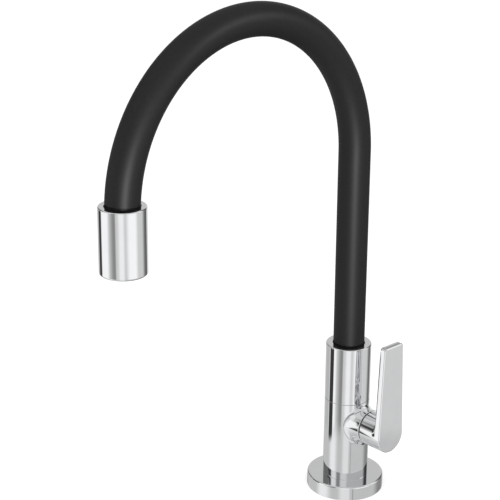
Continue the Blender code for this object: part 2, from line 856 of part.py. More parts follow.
def circlip_mesh(inner, outer, start, end):
    """An open retaining ring about X."""
    rings = []
    for i in range(small_sides + 1):
        turn = circlip_open_angle / 2 + (math.tau - circlip_open_angle) * i / small_sides
        corners = ((start, inner), (start, outer), (end, outer), (end, inner))
        rings.append([Vector((x, *flat(radius, turn))) for x, radius in corners])
    skin = bmesh.new()
    loops = [[skin.verts.new(point) for point in ring] for ring in rings]
    for first, second in zip(loops, loops[1:]):
        for i in range(len(first)):
            skin.faces.new((first[i - 1], first[i], second[i], second[i - 1]))
    skin.faces.new(loops[0])
    skin.faces.new(loops[-1])
    bmesh.ops.recalc_face_normals(skin, faces=skin.faces)
    mesh = bpy.data.meshes.new("spindle_circlip")
    skin.to_mesh(mesh)
    skin.free()
    return mesh


# Swivelling sleeve and what it carries


def collar_mesh(name, ceiling, rim_thickness, shell_bore_radius):
    """A flanged collar, held below a shell's rim, that lines the hose's way out."""
    flange = shell_bore_radius - fit_gap
    low = ceiling - collar_depth
    high = low + collar_flange_thickness
    stand = ceiling + rim_thickness + collar_stand
    outline = [(collar_bore_radius, low), (flange, low), (flange, high), (collar_radius, high)]
    outline += eased_edge(collar_radius, stand, collar_edge, -1)
    outline += [(collar_bore_radius, stand)]
    return turned(name, outline, fine_sides)


def ferrule_mesh(name, bottom):
    """A pressed steel cup about a hose end, its base pierced for the water tube."""
    top = bottom + ferrule_length
    base = bottom + ferrule_base
    outline = [(tube_radius + fit_gap, bottom), (collar_radius, bottom), (collar_radius, top)]
    outline += [(collar_bore_radius, top), (collar_bore_radius, base), (tube_radius + fit_gap, base)]
    return turned(name, outline, fine_sides)


def shell_mesh(name, radius, wall, rim_thickness, edge, bottom, top):
    """A turned shell, open below, with a flat rim above that leaves room for the collar."""
    bore = radius - wall
    rim_bore = collar_radius + fit_gap
    outline = [(bore, bottom), (radius, bottom)]
    outline += eased_edge(radius, top, edge, -1)
    outline += [(rim_bore, top), (rim_bore, top - rim_thickness), (bore, top - rim_thickness)]
    return turned(name, outline, shell_sides, 0.5)


def on_swivel(mesh):
    """Moves a mesh made at its real height into the swivel axis's coordinates."""
    return shifted(mesh, 0, 0, -seam_height)


def add_sleeve(swivel, chrome, brass, steel):
    """The chrome sleeve and the socket inside it, held together by a screw that runs in the neck's groove."""
    rim = sleeve_rim_thickness
    sleeve = shell_mesh("upper_sleeve", body_radius, sleeve_wall, rim, sleeve_edge, sleeve_bottom, sleeve_top)
    sleeve_piece = add_object("upper_sleeve", on_swivel(sleeve), swivel, chrome)

    bore = neck_radius + neck_running_gap
    outer = shell_bore - fit_gap
    way = tube_radius + fit_gap
    ceiling = neck_top + fit_gap
    outline = [(bore, socket_bottom), (outer, socket_bottom), (outer, socket_top), (way, socket_top)]
    outline += [(way, ceiling), (bore, ceiling)]
    socket = turned("swivel_socket", outline, fine_sides)
    socket_piece = add_object("swivel_socket", on_swivel(socket), swivel, brass)

    hole_radius = grub_screw_radius + fit_gap
    hole_reach = body_radius + overrun
    screw_height = screw_groove - seam_height + neck_groove_width / 2
    hole = [(0, neck_radius), (hole_radius, neck_radius), (hole_radius, hole_reach), (0, hole_reach)]
    hole_mesh = shifted(along_y(turned("swivel_screw_hole", hole, small_sides)), 0, 0, screw_height)
    guide = cutter_object("swivel_screw_hole", hole_mesh, swivel)
    boolean(sleeve_piece, guide, "DIFFERENCE")
    boolean(socket_piece, guide, "DIFFERENCE")
    tip = neck_radius + fit_gap
    screw = along_y(grub_screw_mesh("swivel_grub_screw", body_radius - tip - swivel_screw_recess))
    shifted(screw, 0, tip, screw_height)
    add_object("swivel_grub_screw", screw, swivel, steel)


def add_lower_fittings(swivel, steel, plastic):
    """The collar in the sleeve's rim and the ferrule on the hose's lower end."""
    collar = collar_mesh("lower_collar", sleeve_ceiling, sleeve_rim_thickness, shell_bore)
    add_object("lower_collar", on_swivel(collar), swivel, plastic)
    ferrule = ferrule_mesh("lower_ferrule", ferrule_bottom)
    add_object("lower_ferrule", on_swivel(ferrule), swivel, steel)


# Hose, water tube and gooseneck


def add_hose(swivel, silicone, tube_plastic):
    """The outer hose, drawn in where a collar or ferrule holds it, and the water tube inside."""
    frame = axis_frames[swivel.name]
    shoulder_low = sleeve_top + collar_stand + hose_shoulder_gap
    shoulder_high = nozzle_start - collar_stand - hose_shoulder_gap
    outer = [(hose_bottom, hose_end_radius), (shoulder_low, hose_end_radius)]
    outer += [(shoulder_low, hose_radius - hose_edge), (shoulder_low + hose_edge, hose_radius)]
    outer += [(s, hose_radius) for s in between(shoulder_low, shoulder_high)]
    outer += [(shoulder_high - hose_edge, hose_radius), (shoulder_high, hose_radius - hose_edge)]
    outer += [(shoulder_high, hose_end_radius), (hose_end, hose_end_radius)]
    inner = [(hose_bottom, hose_bore_radius)]
    inner += [(s, hose_bore_radius) for s in between(hose_bottom, hose_end)]
    inner += [(hose_end, hose_bore_radius)]
    rings = [route_ring(on_chords(s), radius, hose_sides) for s, radius in outer + inner[::-1]]
    add_object("hose_sleeve", route_skin("hose_sleeve", rings, frame), swivel, silicone)

    low = ferrule_bottom - tube_lap
    high = hose_end + ferrule_base + fit_gap * 2 + tube_lap
    places = [low] + between(low, high) + [high]
    rings = [route_ring(on_chords(s), tube_radius, tube_sides) for s in places]
    rings += [route_ring(on_chords(s), tube_bore_radius, tube_sides) for s in places[::-1]]
    add_object("water_tube", route_skin("water_tube", rings, frame), swivel, tube_plastic)


def sphere_rings(frame, radius, first, last, steps):
    """Rings of a ball about a bend, between two latitudes."""
    rings = []
    for i in range(steps + 1):
        latitude = first + (last - first) * i / steps
        height = radius * math.sin(latitude)
        rings.append(route_ring(frame, radius * math.cos(latitude), gooseneck_sides, height))
    return rings


def gooseneck_piece(name, parent, first_bend, last_bend, material):
    """One stiff length: a cup at its lower bend, a stem and a hollow ball at its upper bend."""
    sides = gooseneck_sides
    if first_bend:
        low = bend_distance(first_bend)
        cup = on_route(low)
        lip = ball_cavity_radius * math.sin(lip_angle)
        start = [route_ring(cup, gooseneck_radius, sides, -lip), route_ring(cup, gooseneck_radius, sides)]
        floor = math.acos(gooseneck_bore_radius / ball_cavity_radius)
        end = sphere_rings(cup, ball_cavity_radius, floor, -lip_angle, cavity_steps)
    else:
        low = hose_bottom
        start = [route_ring(on_route(low), gooseneck_radius, sides)]
        end = [route_ring(on_route(low), gooseneck_bore_radius, sides)]
    if last_bend:
        high = bend_distance(last_bend)
        ball = on_route(high)
        foot = high - ball_to_shoulder
        top = [route_ring(on_chords(foot - shoulder_chamfer), gooseneck_radius, sides)]
        top += [route_ring(on_chords(foot), gooseneck_radius - shoulder_chamfer, sides)]
        top += [route_ring(ball, stem_radius, sides, -ball_to_shoulder)]
        neck = -math.acos(stem_radius / ball_radius)
        mouth = math.acos(gooseneck_bore_radius / ball_radius)
        top += sphere_rings(ball, ball_radius, neck, mouth, ball_steps)
        top += [route_ring(ball, gooseneck_bore_radius, sides)]
    else:
        high = hose_end
        top = [route_ring(on_route(high), gooseneck_radius, sides)]
        top += [route_ring(on_route(high), gooseneck_bore_radius, sides)]
    middle = between(low, high)
    rings = start + [route_ring(on_chords(s), gooseneck_radius, sides) for s in middle] + top
    rings += [route_ring(on_chords(s), gooseneck_bore_radius, sides) for s in middle[::-1]] + end
    add_object(name, route_skin(name, rings, axis_frames[parent.name]), parent, material)


def add_gooseneck(swivel, steel):
    """The chain of stiff lengths. Returns the empty that carries the last of them and the nozzle."""
    gooseneck_piece("gooseneck_root", swivel, None, 1, steel)
    parent = swivel
    for number in range(1, bend_count):
        parent = axis_empty(f"bend_axis_{number}", on_route(bend_distance(number)), parent)
        gooseneck_piece(f"gooseneck_length_{number}", parent, number, number + 1, steel)
    parent = axis_empty(f"bend_axis_{bend_count}", on_route(bend_distance(bend_count)), parent)
    gooseneck_piece("gooseneck_tip", parent, bend_count, None, steel)
    return parent


# Nozzle, made about the water's way with its rim at zero and its outlet towards negative Z


def nozzle_frame(carrier, mesh):
    """Stands a mesh made rim upwards at zero on the arch's end, in its carrier's coordinates."""
    flip = Matrix.Translation((0, 0, -nozzle_lap)) @ Matrix.Rotation(math.pi, 4, "X")
    mesh.transform(axis_frames[carrier.name].inverted() @ on_route(arch_end) @ flip)
    return mesh


def add_nozzle(carrier, chrome, brass, steel, black):
    """The nozzle's shell with the collar, ferrule and brass core that it holds."""
    rim = nozzle_rim_thickness
    shell = shell_mesh("nozzle_sleeve", nozzle_radius, nozzle_wall, rim, nozzle_edge, nozzle_bottom, 0)
    add_object("nozzle_sleeve", nozzle_frame(carrier, shell), carrier, chrome)
    collar = collar_mesh("upper_collar", -rim, rim, nozzle_bore)
    add_object("upper_collar", nozzle_frame(carrier, collar), carrier, black)
    cup = ferrule_mesh("upper_ferrule", adapter_top + fit_gap)
    add_object("upper_ferrule", nozzle_frame(carrier, cup), carrier, steel)

    outer = nozzle_bore - fit_gap
    way = tube_radius + fit_gap
    outline = [(way, adapter_top), (outer, adapter_top), (outer, adapter_bottom)]
    outline += [(adapter_thread_radius, adapter_bottom), (adapter_thread_radius, adapter_step)]
    outline += [(way, adapter_step)]
    adapter = turned("nozzle_adapter", outline, fine_sides)
    add_object("nozzle_adapter", nozzle_frame(carrier, adapter), carrier, brass)


def add_aerator(carrier, chrome, plastic, rubber):
    """The screwed-in aerator below the core: seal, housing and pierced insert."""
    thread_radius = adapter_thread_radius - fit_gap
    seal_top = adapter_step - fit_gap
    seal_bottom = seal_top - aerator_seal_thickness
    outline = ring_outline(aerator_seal_bore_radius, thread_radius, seal_bottom, seal_top)
    seal = turned("aerator_seal", outline, fine_sides)
    add_object("aerator_seal", nozzle_frame(carrier, seal), carrier, rubber)

    housing_top = seal_bottom - fit_gap
    outer = nozzle_bore - fit_gap
    lip_radius = aerator_bore_radius - aerator_lip
    lip_top = aerator_flange_bottom + aerator_wall
    outline = [(aerator_bore_radius, housing_top), (thread_radius, housing_top)]
    outline += [(thread_radius, aerator_flange_top), (outer, aerator_flange_top)]
    outline += [(outer, aerator_flange_bottom), (lip_radius, aerator_flange_bottom)]
    outline += [(lip_radius, lip_top), (aerator_bore_radius, lip_top)]
    housing = turned("aerator_housing", outline, fine_sides)
    add_object("aerator_housing", nozzle_frame(carrier, housing), carrier, chrome)

    insert = insert_mesh(aerator_bore_radius - fit_gap, lip_top + fit_gap, housing_top - fit_gap)
    piece = add_object("aerator_insert", nozzle_frame(carrier, insert), carrier, plastic)
    holes = nozzle_frame(carrier, insert_holes(lip_top + fit_gap))
    boolean(piece, cutter_object("aerator_holes", holes, carrier), "DIFFERENCE")


def insert_mesh(radius, bottom, top):
    """The aerator's insert: a cup whose floor is the outlet grille."""
    floor = bottom + aerator_floor
    bore = radius - aerator_wall
    outline = [(0, bottom), (radius, bottom), (radius, top), (bore, top), (bore, floor), (0, floor)]
    return turned("aerator_insert", outline, fine_sides)


def insert_holes(bottom):
    """The grille's holes: one in the middle and rings of holes about it."""
    low = bottom - overrun
    high = bottom + aerator_floor + overrun
    pitch = (aerator_bore_radius - fit_gap - aerator_wall) / (aerator_ring_count + 0.5)
    joined = bmesh.new()
    for ring in range(aerator_ring_count + 1):
        count = max(aerator_holes_per_ring * ring, 1)
        for i in range(count):
            turn = math.tau * i / count
            outline = [(0, low), (aerator_hole_radius, low), (aerator_hole_radius, high), (0, high)]
            hole = turned("hole", outline, grille_hole_sides)
            shifted(hole, pitch * ring * math.cos(turn), pitch * ring * math.sin(turn), 0)
            joined.from_mesh(hole)
            bpy.data.meshes.remove(hole)
    mesh = bpy.data.meshes.new("aerator_holes")
    joined.to_mesh(mesh)
    joined.free()
    return mesh


def build():
    clear_scene()
    chrome = finish("polished_chrome", (0.72, 0.72, 0.74), 0.06, 1)
    brass = finish("plain_brass", (0.62, 0.45, 0.2), 0.35, 1)
    steel = finish("stainless_steel", (0.5, 0.5, 0.52), 0.3, 1)
    rubber = finish("seal_rubber", (0.02, 0.02, 0.02), 0.7, 0)
    silicone = finish("matte_black_silicone", (0.024, 0.024, 0.025), 0.5, 0)
    black = finish("black_plastic", (0.015, 0.015, 0.016), 0.4, 0)
    white = finish("white_plastic", (0.75, 0.75, 0.74), 0.45, 0)
    ceramic = finish("grey_ceramic", (0.35, 0.34, 0.33), 0.3, 0)

    swivel = axis_empty("swivel_axis", Matrix.Translation((0, 0, seam_height)))
    turning = axis_empty("lever_axis", Matrix.Translation((0, 0, hub_axis_height)))
    add_foot(chrome, rubber)
    add_clamp_set(rubber, brass, steel)
    add_valve_body(chrome)
    add_swivel_neck(brass, rubber)
    add_glide_ring(white)
    add_headwork(brass, rubber, ceramic)
    add_lever(turning, chrome, steel)
    add_spindle(turning, brass, rubber, steel, ceramic)
    add_sleeve(swivel, chrome, brass, steel)
    add_lower_fittings(swivel, steel, black)
    add_hose(swivel, silicone, white)
    carrier = add_gooseneck(swivel, steel)
    add_nozzle(carrier, chrome, brass, steel, black)
    add_aerator(carrier, chrome, white, rubber)


build()
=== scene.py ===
import math

import bmesh
import bpy
from mathutils import Matrix, Vector


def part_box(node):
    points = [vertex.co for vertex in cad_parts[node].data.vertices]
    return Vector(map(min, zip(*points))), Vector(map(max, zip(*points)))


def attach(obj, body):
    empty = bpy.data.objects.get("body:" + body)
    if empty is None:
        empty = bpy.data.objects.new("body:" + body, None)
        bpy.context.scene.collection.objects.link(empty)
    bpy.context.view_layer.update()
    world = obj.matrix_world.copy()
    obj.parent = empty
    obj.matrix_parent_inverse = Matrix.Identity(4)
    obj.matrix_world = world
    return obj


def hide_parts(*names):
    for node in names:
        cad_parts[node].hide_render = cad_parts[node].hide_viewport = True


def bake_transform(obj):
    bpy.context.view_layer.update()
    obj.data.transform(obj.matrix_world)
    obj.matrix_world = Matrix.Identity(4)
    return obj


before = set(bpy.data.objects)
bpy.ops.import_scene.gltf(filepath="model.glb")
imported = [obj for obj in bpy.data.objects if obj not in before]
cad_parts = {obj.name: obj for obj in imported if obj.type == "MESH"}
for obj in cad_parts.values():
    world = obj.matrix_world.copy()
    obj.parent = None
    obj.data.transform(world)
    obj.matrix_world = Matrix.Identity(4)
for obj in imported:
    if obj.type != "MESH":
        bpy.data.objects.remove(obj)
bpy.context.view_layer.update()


# Camera
#
# The photograph was taken from the front right, a little above the spout's arch, with a long lens.
# Its frame is a square cut out of a larger picture, so the view is shifted a little sideways and down.

camera_place = (0.7284, -0.7819, 0.5793)
camera_heading = math.radians(48.436)
camera_pitch = math.radians(18.648)
camera_lens = 108.67
camera_shift = (0.0684, -0.0640)

camera_data = bpy.data.cameras.new("camera")
camera_data.lens = camera_lens
camera_data.sensor_width = 36
camera_data.shift_x, camera_data.shift_y = camera_shift
camera = bpy.data.objects.new("camera", camera_data)
camera.location = camera_place
camera.rotation_euler = (math.pi / 2 - camera_pitch, 0, camera_heading)
bpy.context.scene.collection.objects.link(camera)
bpy.context.scene.camera = camera
bpy.context.scene.view_settings.view_transform = "Standard"


# Studio
#
# A white room with a pale floor and soft, level light. Light screens and dark boards stand round the tap for
# its chrome to mirror, two black cards left of the tap draw dark lines in it, and two of the four lamps light
# the hose alone.

board_blur = 0.4
board_top_blur = 5
table_edge = -26.6
table_grey = 0.57
room_light = 0.82

# Above the table, a band's grey and the heights in degrees where it begins and is full.
room_bands = (
    (0.66, table_edge - board_blur, table_edge + board_blur),
    (0.50, 12, 22),
    (0.66, 36, 46),
)

# In degrees, a board's heading, half its width, its two soft edges, its bottom and its top, then its grey.
# Each board stands in front of those above it in the list.
studio_boards = {
    "back_grey_board": (-172, 12, 20, 12, table_edge, 8, 0.51),
    "left_screen": (-133, 15, 8, 16, table_edge, 11, 1.02),
    "left_grey_board": (-79, 2, 30, 8, table_edge, 40, 0.27),
    "front_screen": (-45, 5, 16, 13, table_edge, 18, 0.95),
    "right_screen": (6, 12, 24, 20, table_edge, 15, 1.03),
    "back_black_board": (84, 2, 26, 22, table_edge, 42, 0.15),
    "back_screen": (124, 5, 12, 16, table_edge, 14, 0.88),
    "upper_left_screen": (-107, 7, 12, 12, 14, 40, 0.84),
    "upper_front_screen": (-54, 9, 12, 14, 18, 40, 0.72),
    "upper_right_screen": (48, 7, 8, 8, -4, 23, 1.0),
    "ceiling_light": (72, 16, 12, 12, 41, 60, 0.95),
    "ceiling_dark_board": (178, 8, 8, 8, 49, 66, 0.06),
    "upper_left_board": (-168, 22, 20, 18, 7, 34, 0.16),
    "upper_back_board": (90, 7, 30, 22, 14, 34, 0.05),
    "upper_back_screen": (134, 9, 12, 14, 14, 36, 0.58),
    "upper_lever_board": (124, 9, 12, 10, 30.5, 38, 0.27),
    "table_left_light": (-116, 6, 26, 26, -90, table_edge, 0.90),
    "table_front_light": (-44, 9, 18, 8, -90, table_edge, 0.80),
    "table_joint": (-21, 0.8, 1.2, 1.2, -90, table_edge, 0.34),
    "table_back": (88, 8, 34, 26, -90, table_edge, 0.26),
    "table_far_edge": (96, 24, 20, 40, -90, -36, 0.06),
    "table_back_edge": (143, 14, 14, 9, -62, -31, 0.08),
}


def wired(tree, kind, feeds=None, **settings):
    """A node with its settings, its sockets fed with values or with other nodes' outputs."""
    made = tree.nodes.new(kind)
    for setting, value in settings.items():
        setattr(made, setting, value)
    for socket, feed in (feeds or {}).items():
        if isinstance(feed, bpy.types.NodeSocket):
            tree.links.new(feed, made.inputs[socket])
        else:
            made.inputs[socket].default_value = feed
    return made


def number(tree, operation, *terms):
    """The result of one sum."""
    return wired(tree, "ShaderNodeMath", dict(enumerate(terms)), operation=operation).outputs[0]


def soft_step(tree, value, first, last):
    """From 0 to 1 between two values, without a hard edge."""
    feeds = {0: value, 1: first, 2: last}
    return wired(tree, "ShaderNodeMapRange", feeds, interpolation_type="SMOOTHSTEP").outputs[0]


def greys(tree, share, first, second):
    """One grey or the other, by a share from 0 to 1."""
    colours = [(grey, grey, grey, 1) if isinstance(grey, (int, float)) else grey for grey in (first, second)]
    mix = wired(tree, "ShaderNodeMix", {0: share, 6: colours[0], 7: colours[1]}, data_type="RGBA")
    return mix.outputs[2]


def rise(degrees):
    """Height of a view direction above the horizon, as the sine that the room reads."""
    return math.sin(math.radians(max(-90, min(90, degrees))))


def panel(name, middle, half_width, half_height):
    """A flat rectangle in the studio, from its middle and half of each side."""
    mesh = bpy.data.meshes.new(name)
    ends = ((-1, -1), (1, -1), (1, 1), (-1, 1))
    mesh.from_pydata([middle + half_width * x + half_height * y for x, y in ends], [], [(0, 1, 2, 3)])
    made = bpy.data.objects.new(name, mesh)
    bpy.context.scene.collection.objects.link(made)
    return made


def bare(name):
    """A material without nodes."""
    made = bpy.data.materials.new(name)
    made.use_nodes = True
    made.node_tree.nodes.clear()
    return made


room = bpy.data.worlds.new("studio")
bpy.context.scene.world = room
room.use_nodes = True
tree = room.node_tree
tree.nodes.clear()
way = wired(tree, "ShaderNodeSeparateXYZ", {0: wired(tree, "ShaderNodeTexCoord").outputs["Generated"]})
turn = number(tree, "ARCTAN2", way.outputs["Y"], way.outputs["X"])
turn = number(tree, "MULTIPLY", turn, 1 / math.tau)
height = way.outputs["Z"]
mirrored = table_grey
for grey, begin, full in room_bands:
    mirrored = greys(tree, soft_step(tree, height, rise(begin), rise(full)), mirrored, grey)
for middle, half, near_edge, far_edge, bottom, top, grey in studio_boards.values():
    off = number(tree, "WRAP", number(tree, "SUBTRACT", turn, middle / 360), 0.5, -0.5)
    begun = soft_step(tree, off, (-half - near_edge) / 360, -half / 360)
    ended = soft_step(tree, off, (half + far_edge) / 360, half / 360)
    upward = soft_step(tree, height, rise(bottom - board_blur), rise(bottom + board_blur))
    top_blur = board_blur if top == table_edge else board_top_blur
    downward = soft_step(tree, height, rise(top + top_blur), rise(top - board_blur))
    across = number(tree, "MULTIPLY", begun, ended)
    share = number(tree, "MULTIPLY", number(tree, "MULTIPLY", across, upward), downward)
    mirrored = greys(tree, share, mirrored, grey)
rays = wired(tree, "ShaderNodeLightPath")
gloss = number(tree, "MAXIMUM", rays.outputs["Is Glossy Ray"], rays.outputs["Is Transmission Ray"])
seen = greys(tree, gloss, room_light, mirrored)
seen = greys(tree, rays.outputs["Is Camera Ray"], seen, 1)
sky = wired(tree, "ShaderNodeBackground", {"Color": seen, "Strength": 1})
wired(tree, "ShaderNodeOutputWorld", {"Surface": sky.outputs[0]})

# A lamp's place, what it aims at, its width, height and power, and the only pieces that it lights.
hose_lit = bpy.data.collections.new("hose_lit")
lamp_facts = {
    "key": ((0.9, -0.55, 1.25), (0, -0.1, 0.22), 0.9, 0.9, 7.0, None),
    "fill": ((-1.0, -1.2, 1.0), (0, -0.1, 0.22), 1.4, 1.4, 4.0, None),
    "hose_strip": ((1.10, -0.77, 0.05), (0, -0.1, 0.05), 0.32, 0.34, 43.0, hose_lit),
    "crown_light": ((0.99, 0.58, 0.84), (0, -0.1, 0.38), 0.30, 0.30, 9.5, hose_lit),
}
for lamp_name, (lamp_place, lamp_aim, lamp_width, lamp_height, lamp_power, lit_pieces) in lamp_facts.items():
    lamp_data = bpy.data.lights.new(lamp_name, "AREA")
    lamp_data.shape = "RECTANGLE"
    lamp_data.size, lamp_data.size_y = lamp_width, lamp_height
    lamp_data.energy = lamp_power
    lamp_data.use_shadow = lit_pieces is None
    lamp = bpy.data.objects.new(lamp_name, lamp_data)
    lamp.location = lamp_place
    lamp.visible_camera = False
    lamp.visible_diffuse = lit_pieces is None
    lamp.visible_glossy = lit_pieces is not None
    lamp.light_linking.receiver_collection = lit_pieces
    lamp.rotation_euler = (Vector(lamp_aim) - lamp.location).to_track_quat("-Z", "Y").to_euler()
    bpy.context.scene.collection.objects.link(lamp)

# A card's middle, half its width, half its height and its soft edge.
card_grey = 0.045
card_facts = {
    "upper_black_card": (Vector((-0.320, -0.2885, 0.150)), Vector((0.117, -0.047, 0)), 0.100, 0.026),
    "lower_black_card": (Vector((-0.1467, -0.1533, -0.009)), Vector((0.0361, -0.0390, 0)), 0.0545, 0.011),
}
for card_name, (card_middle, card_half, card_rise, card_soft) in card_facts.items():
    card = panel(card_name, card_middle, card_half, Vector((0, 0, card_rise)))
    card.visible_camera = card.visible_diffuse = card.visible_shadow = False
    card_finish = bare(card_name)
    tree = card_finish.node_tree
    away = wired(tree, "ShaderNodeVectorMath", {
        0: wired(tree, "ShaderNodeTexCoord").outputs["Object"], 1: tuple(card_middle),
    }, operation="SUBTRACT").outputs[0]
    across = wired(tree, "ShaderNodeVectorMath", {0: away, 1: tuple(card_half.normalized())}, operation="DOT_PRODUCT")
    across = number(tree, "ABSOLUTE", across.outputs["Value"])
    upward = number(tree, "ABSOLUTE", wired(tree, "ShaderNodeSeparateXYZ", {0: away}).outputs["Z"])
    solid = number(
        tree, "MULTIPLY", soft_step(tree, across, card_half.length, card_half.length - card_soft),
        soft_step(tree, upward, card_rise, card_rise - card_soft),
    )
    card_skin = wired(tree, "ShaderNodeMixShader", {
        0: solid, 1: wired(tree, "ShaderNodeBsdfTransparent").outputs[0],
        2: wired(tree, "ShaderNodeEmission", {"Color": (card_grey, card_grey, card_grey, 1)}).outputs[0],
    })
    wired(tree, "ShaderNodeOutputMaterial", {"Surface": card_skin.outputs[0]})
    card.data.materials.append(card_finish)

floor_reach = 4
floor_grey = 0.86
floor_glow = 0.3
floor = panel("floor", Vector((0, 0, 0)), Vector((floor_reach, 0, 0)), Vector((0, floor_reach, 0)))
floor.visible_glossy = False
floor_finish = bare("pale_floor")
tree = floor_finish.node_tree
matt = wired(tree, "ShaderNodeBsdfDiffuse", {"Color": (floor_grey, floor_grey, floor_grey, 1)})
rays = wired(tree, "ShaderNodeLightPath")
glow = wired(tree, "ShaderNodeEmission", {
    "Color": (1, 1, 1, 1), "Strength": number(tree, "MULTIPLY", rays.outputs["Is Camera Ray"], floor_glow),
})
both = wired(tree, "ShaderNodeAddShader", {0: matt.outputs[0], 1: glow.outputs[0]})
wired(tree, "ShaderNodeOutputMaterial", {"Surface": both.outputs[0]})
floor.data.materials.append(floor_finish)


# Clamp set
#
# A brass tail threaded all along passes through the deck, and a rubber washer, a steel washer and a hexagon
# nut pull the tap down from below. The tail is cut from bar, the nut is forged and then tapped.

tail_bore = 0.007
tail_around = 48
thread_pitch = 0.001814
thread_depth = 0.0009
thread_flank = (0.12, 0.88)
thread_samples = 8
washer_bore = 0.0107
nut_bore = 0.0107
nut_chamfer = 0.001
nut_crown = ((0.0022, 0), (0.0009, 0.0005), (0, nut_chamfer))
nut_around = 96


def grained(name, dark, light, metallic, rough, grain, relief, stretch=(1, 1, 1)):
    """A finish whose colour varies broadly, and its gloss and relief with a fine grain."""
    made = bpy.data.materials.new(name)
    made.use_nodes = True
    tree = made.node_tree
    shader = tree.nodes["Principled BSDF"]
    shader.inputs["Metallic"].default_value = metallic
    place = wired(tree, "ShaderNodeTexCoord").outputs["Object"]
    place = wired(tree, "ShaderNodeMapping", {"Vector": place, "Scale": stretch}).outputs[0]
    broad = wired(tree, "ShaderNodeTexNoise", {"Vector": place, "Scale": grain / 6, "Detail": 3}).outputs[0]
    fine = wired(tree, "ShaderNodeTexNoise", {"Vector": place, "Scale": grain, "Detail": 4}).outputs[0]
    shade = wired(tree, "ShaderNodeMapRange", {0: broad, 1: 0.3, 2: 0.7}).outputs[0]
    colour = wired(tree, "ShaderNodeMix", {0: shade, 6: (*dark, 1), 7: (*light, 1)}, data_type="RGBA")
    tree.links.new(colour.outputs[2], shader.inputs["Base Color"])
    gloss = wired(tree, "ShaderNodeMapRange", {0: fine, 1: 0.3, 2: 0.7, 3: rough[0], 4: rough[1]})
    tree.links.new(gloss.outputs[0], shader.inputs["Roughness"])
    bump = wired(tree, "ShaderNodeBump", {"Height": fine, "Distance": relief, "Strength": 1})
    tree.links.new(bump.outputs[0], shader.inputs["Normal"])
    return made


brass = grained("plain_brass", (0.60, 0.42, 0.17), (0.68, 0.50, 0.24), 1, (0.22, 0.38), 900, 0.00002)
steel = grained("stainless_steel", (0.50, 0.50, 0.52), (0.60, 0.60, 0.62), 1, (0.2, 0.4), 1400, 0.00001, (1, 1, 9))
rubber = grained("seal_rubber", (0.016, 0.016, 0.017), (0.028, 0.028, 0.028), 0, (0.55, 0.8), 2500, 0.00003)


def sockets(tree, kinds):
    """Named inputs of a geometry tree, and its output."""
    tree.interface.new_socket("Mesh", in_out="INPUT", socket_type="NodeSocketGeometry")
    for name, kind in kinds.items():
        tree.interface.new_socket(name, in_out="INPUT", socket_type=f"NodeSocket{kind}")
    tree.interface.new_socket("Mesh", in_out="OUTPUT", socket_type="NodeSocketGeometry")
    return wired(tree, "NodeGroupInput").outputs


def grown(name, tree, sizes, source=None):
    """The plain mesh that a geometry tree makes with these sizes."""
    seed = bpy.data.objects.new(name, source or bpy.data.meshes.new(name))
    bpy.context.scene.collection.objects.link(seed)
    step = seed.modifiers.new("grown", "NODES")
    step.node_group = tree
    for entry in tree.interface.items_tree:
        if entry.item_type == "SOCKET" and entry.in_out == "INPUT" and entry.name in sizes:
            step[entry.identifier] = sizes[entry.name]
    bpy.context.view_layer.update()
    result = bpy.data.meshes.new_from_object(seed.evaluated_get(bpy.context.evaluated_depsgraph_get()))
    bpy.data.objects.remove(seed)
    result.name = name
    return result


def tube_grid(tree, rings, around):
    """A grid to wrap up a tube's outside and down its bore.

    Also gives, at each point, whether it is inside, its share of the tube's length and its turn in radians.
    """
    both = number(tree, "MULTIPLY", rings, 2)
    columns = number(tree, "ADD", around, 1)
    grid = wired(tree, "GeometryNodeMeshGrid", {2: number(tree, "ADD", both, 1), 3: columns}).outputs["Mesh"]
    index = wired(tree, "GeometryNodeInputIndex").outputs[0]
    ring = number(tree, "FLOOR", number(tree, "DIVIDE", number(tree, "ADD", index, 0.5), columns))
    ring = number(tree, "MODULO", ring, both)
    inside = number(tree, "GREATER_THAN", ring, number(tree, "SUBTRACT", rings, 0.5))
    back = number(tree, "SUBTRACT", both, number(tree, "ADD", ring, 1))
    ring = wired(tree, "GeometryNodeSwitch", {0: inside, 1: ring, 2: back}, input_type="FLOAT").outputs[0]
    share = number(tree, "DIVIDE", ring, number(tree, "SUBTRACT", rings, 1))
    spoke = number(tree, "FLOORED_MODULO", index, columns)
    return grid, inside, share, number(tree, "DIVIDE", number(tree, "MULTIPLY", spoke, math.tau), around)


def wrapped(tree, grid, points, material):
    """The grid moved to its points, closed, smooth and in its material."""
    moved = wired(tree, "GeometryNodeSetPosition", {"Geometry": grid, "Position": points}).outputs[0]
    closed = wired(tree, "GeometryNodeMergeByDistance", {"Geometry": moved, "Distance": 1e-6}).outputs[0]
    smooth = wired(tree, "GeometryNodeSetShadeSmooth", {"Geometry": closed}).outputs[0]
    real = wired(tree, "GeometryNodeRealizeInstances", {"Geometry": smooth}).outputs[0]
    coloured = wired(tree, "GeometryNodeSetMaterial", {"Geometry": real, "Material": material}).outputs[0]
    wired(tree, "NodeGroupOutput", {0: coloured})


def piece(name, mesh, material, body, stands_for, finish, sharp=32):
    """A finished piece in place of a CAD node, smooth between its sharp edges, riding on its body if it has one."""
    if material is not None:
        mesh.materials.clear()
        mesh.materials.append(material)
    mesh.shade_smooth()
    mesh.set_sharp_from_angle(angle=math.radians(sharp))
    made = bpy.data.objects.new(name, mesh)
    bpy.context.scene.collection.objects.link(made)
    if body:
        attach(made, body)
    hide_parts(stands_for)
    return made


def dressed(finishes):
    """CAD nodes that keep their own shape, each in its finish."""
    for node, finish in finishes.items():
        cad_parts[node].data.materials.clear()
        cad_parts[node].data.materials.append(finish)


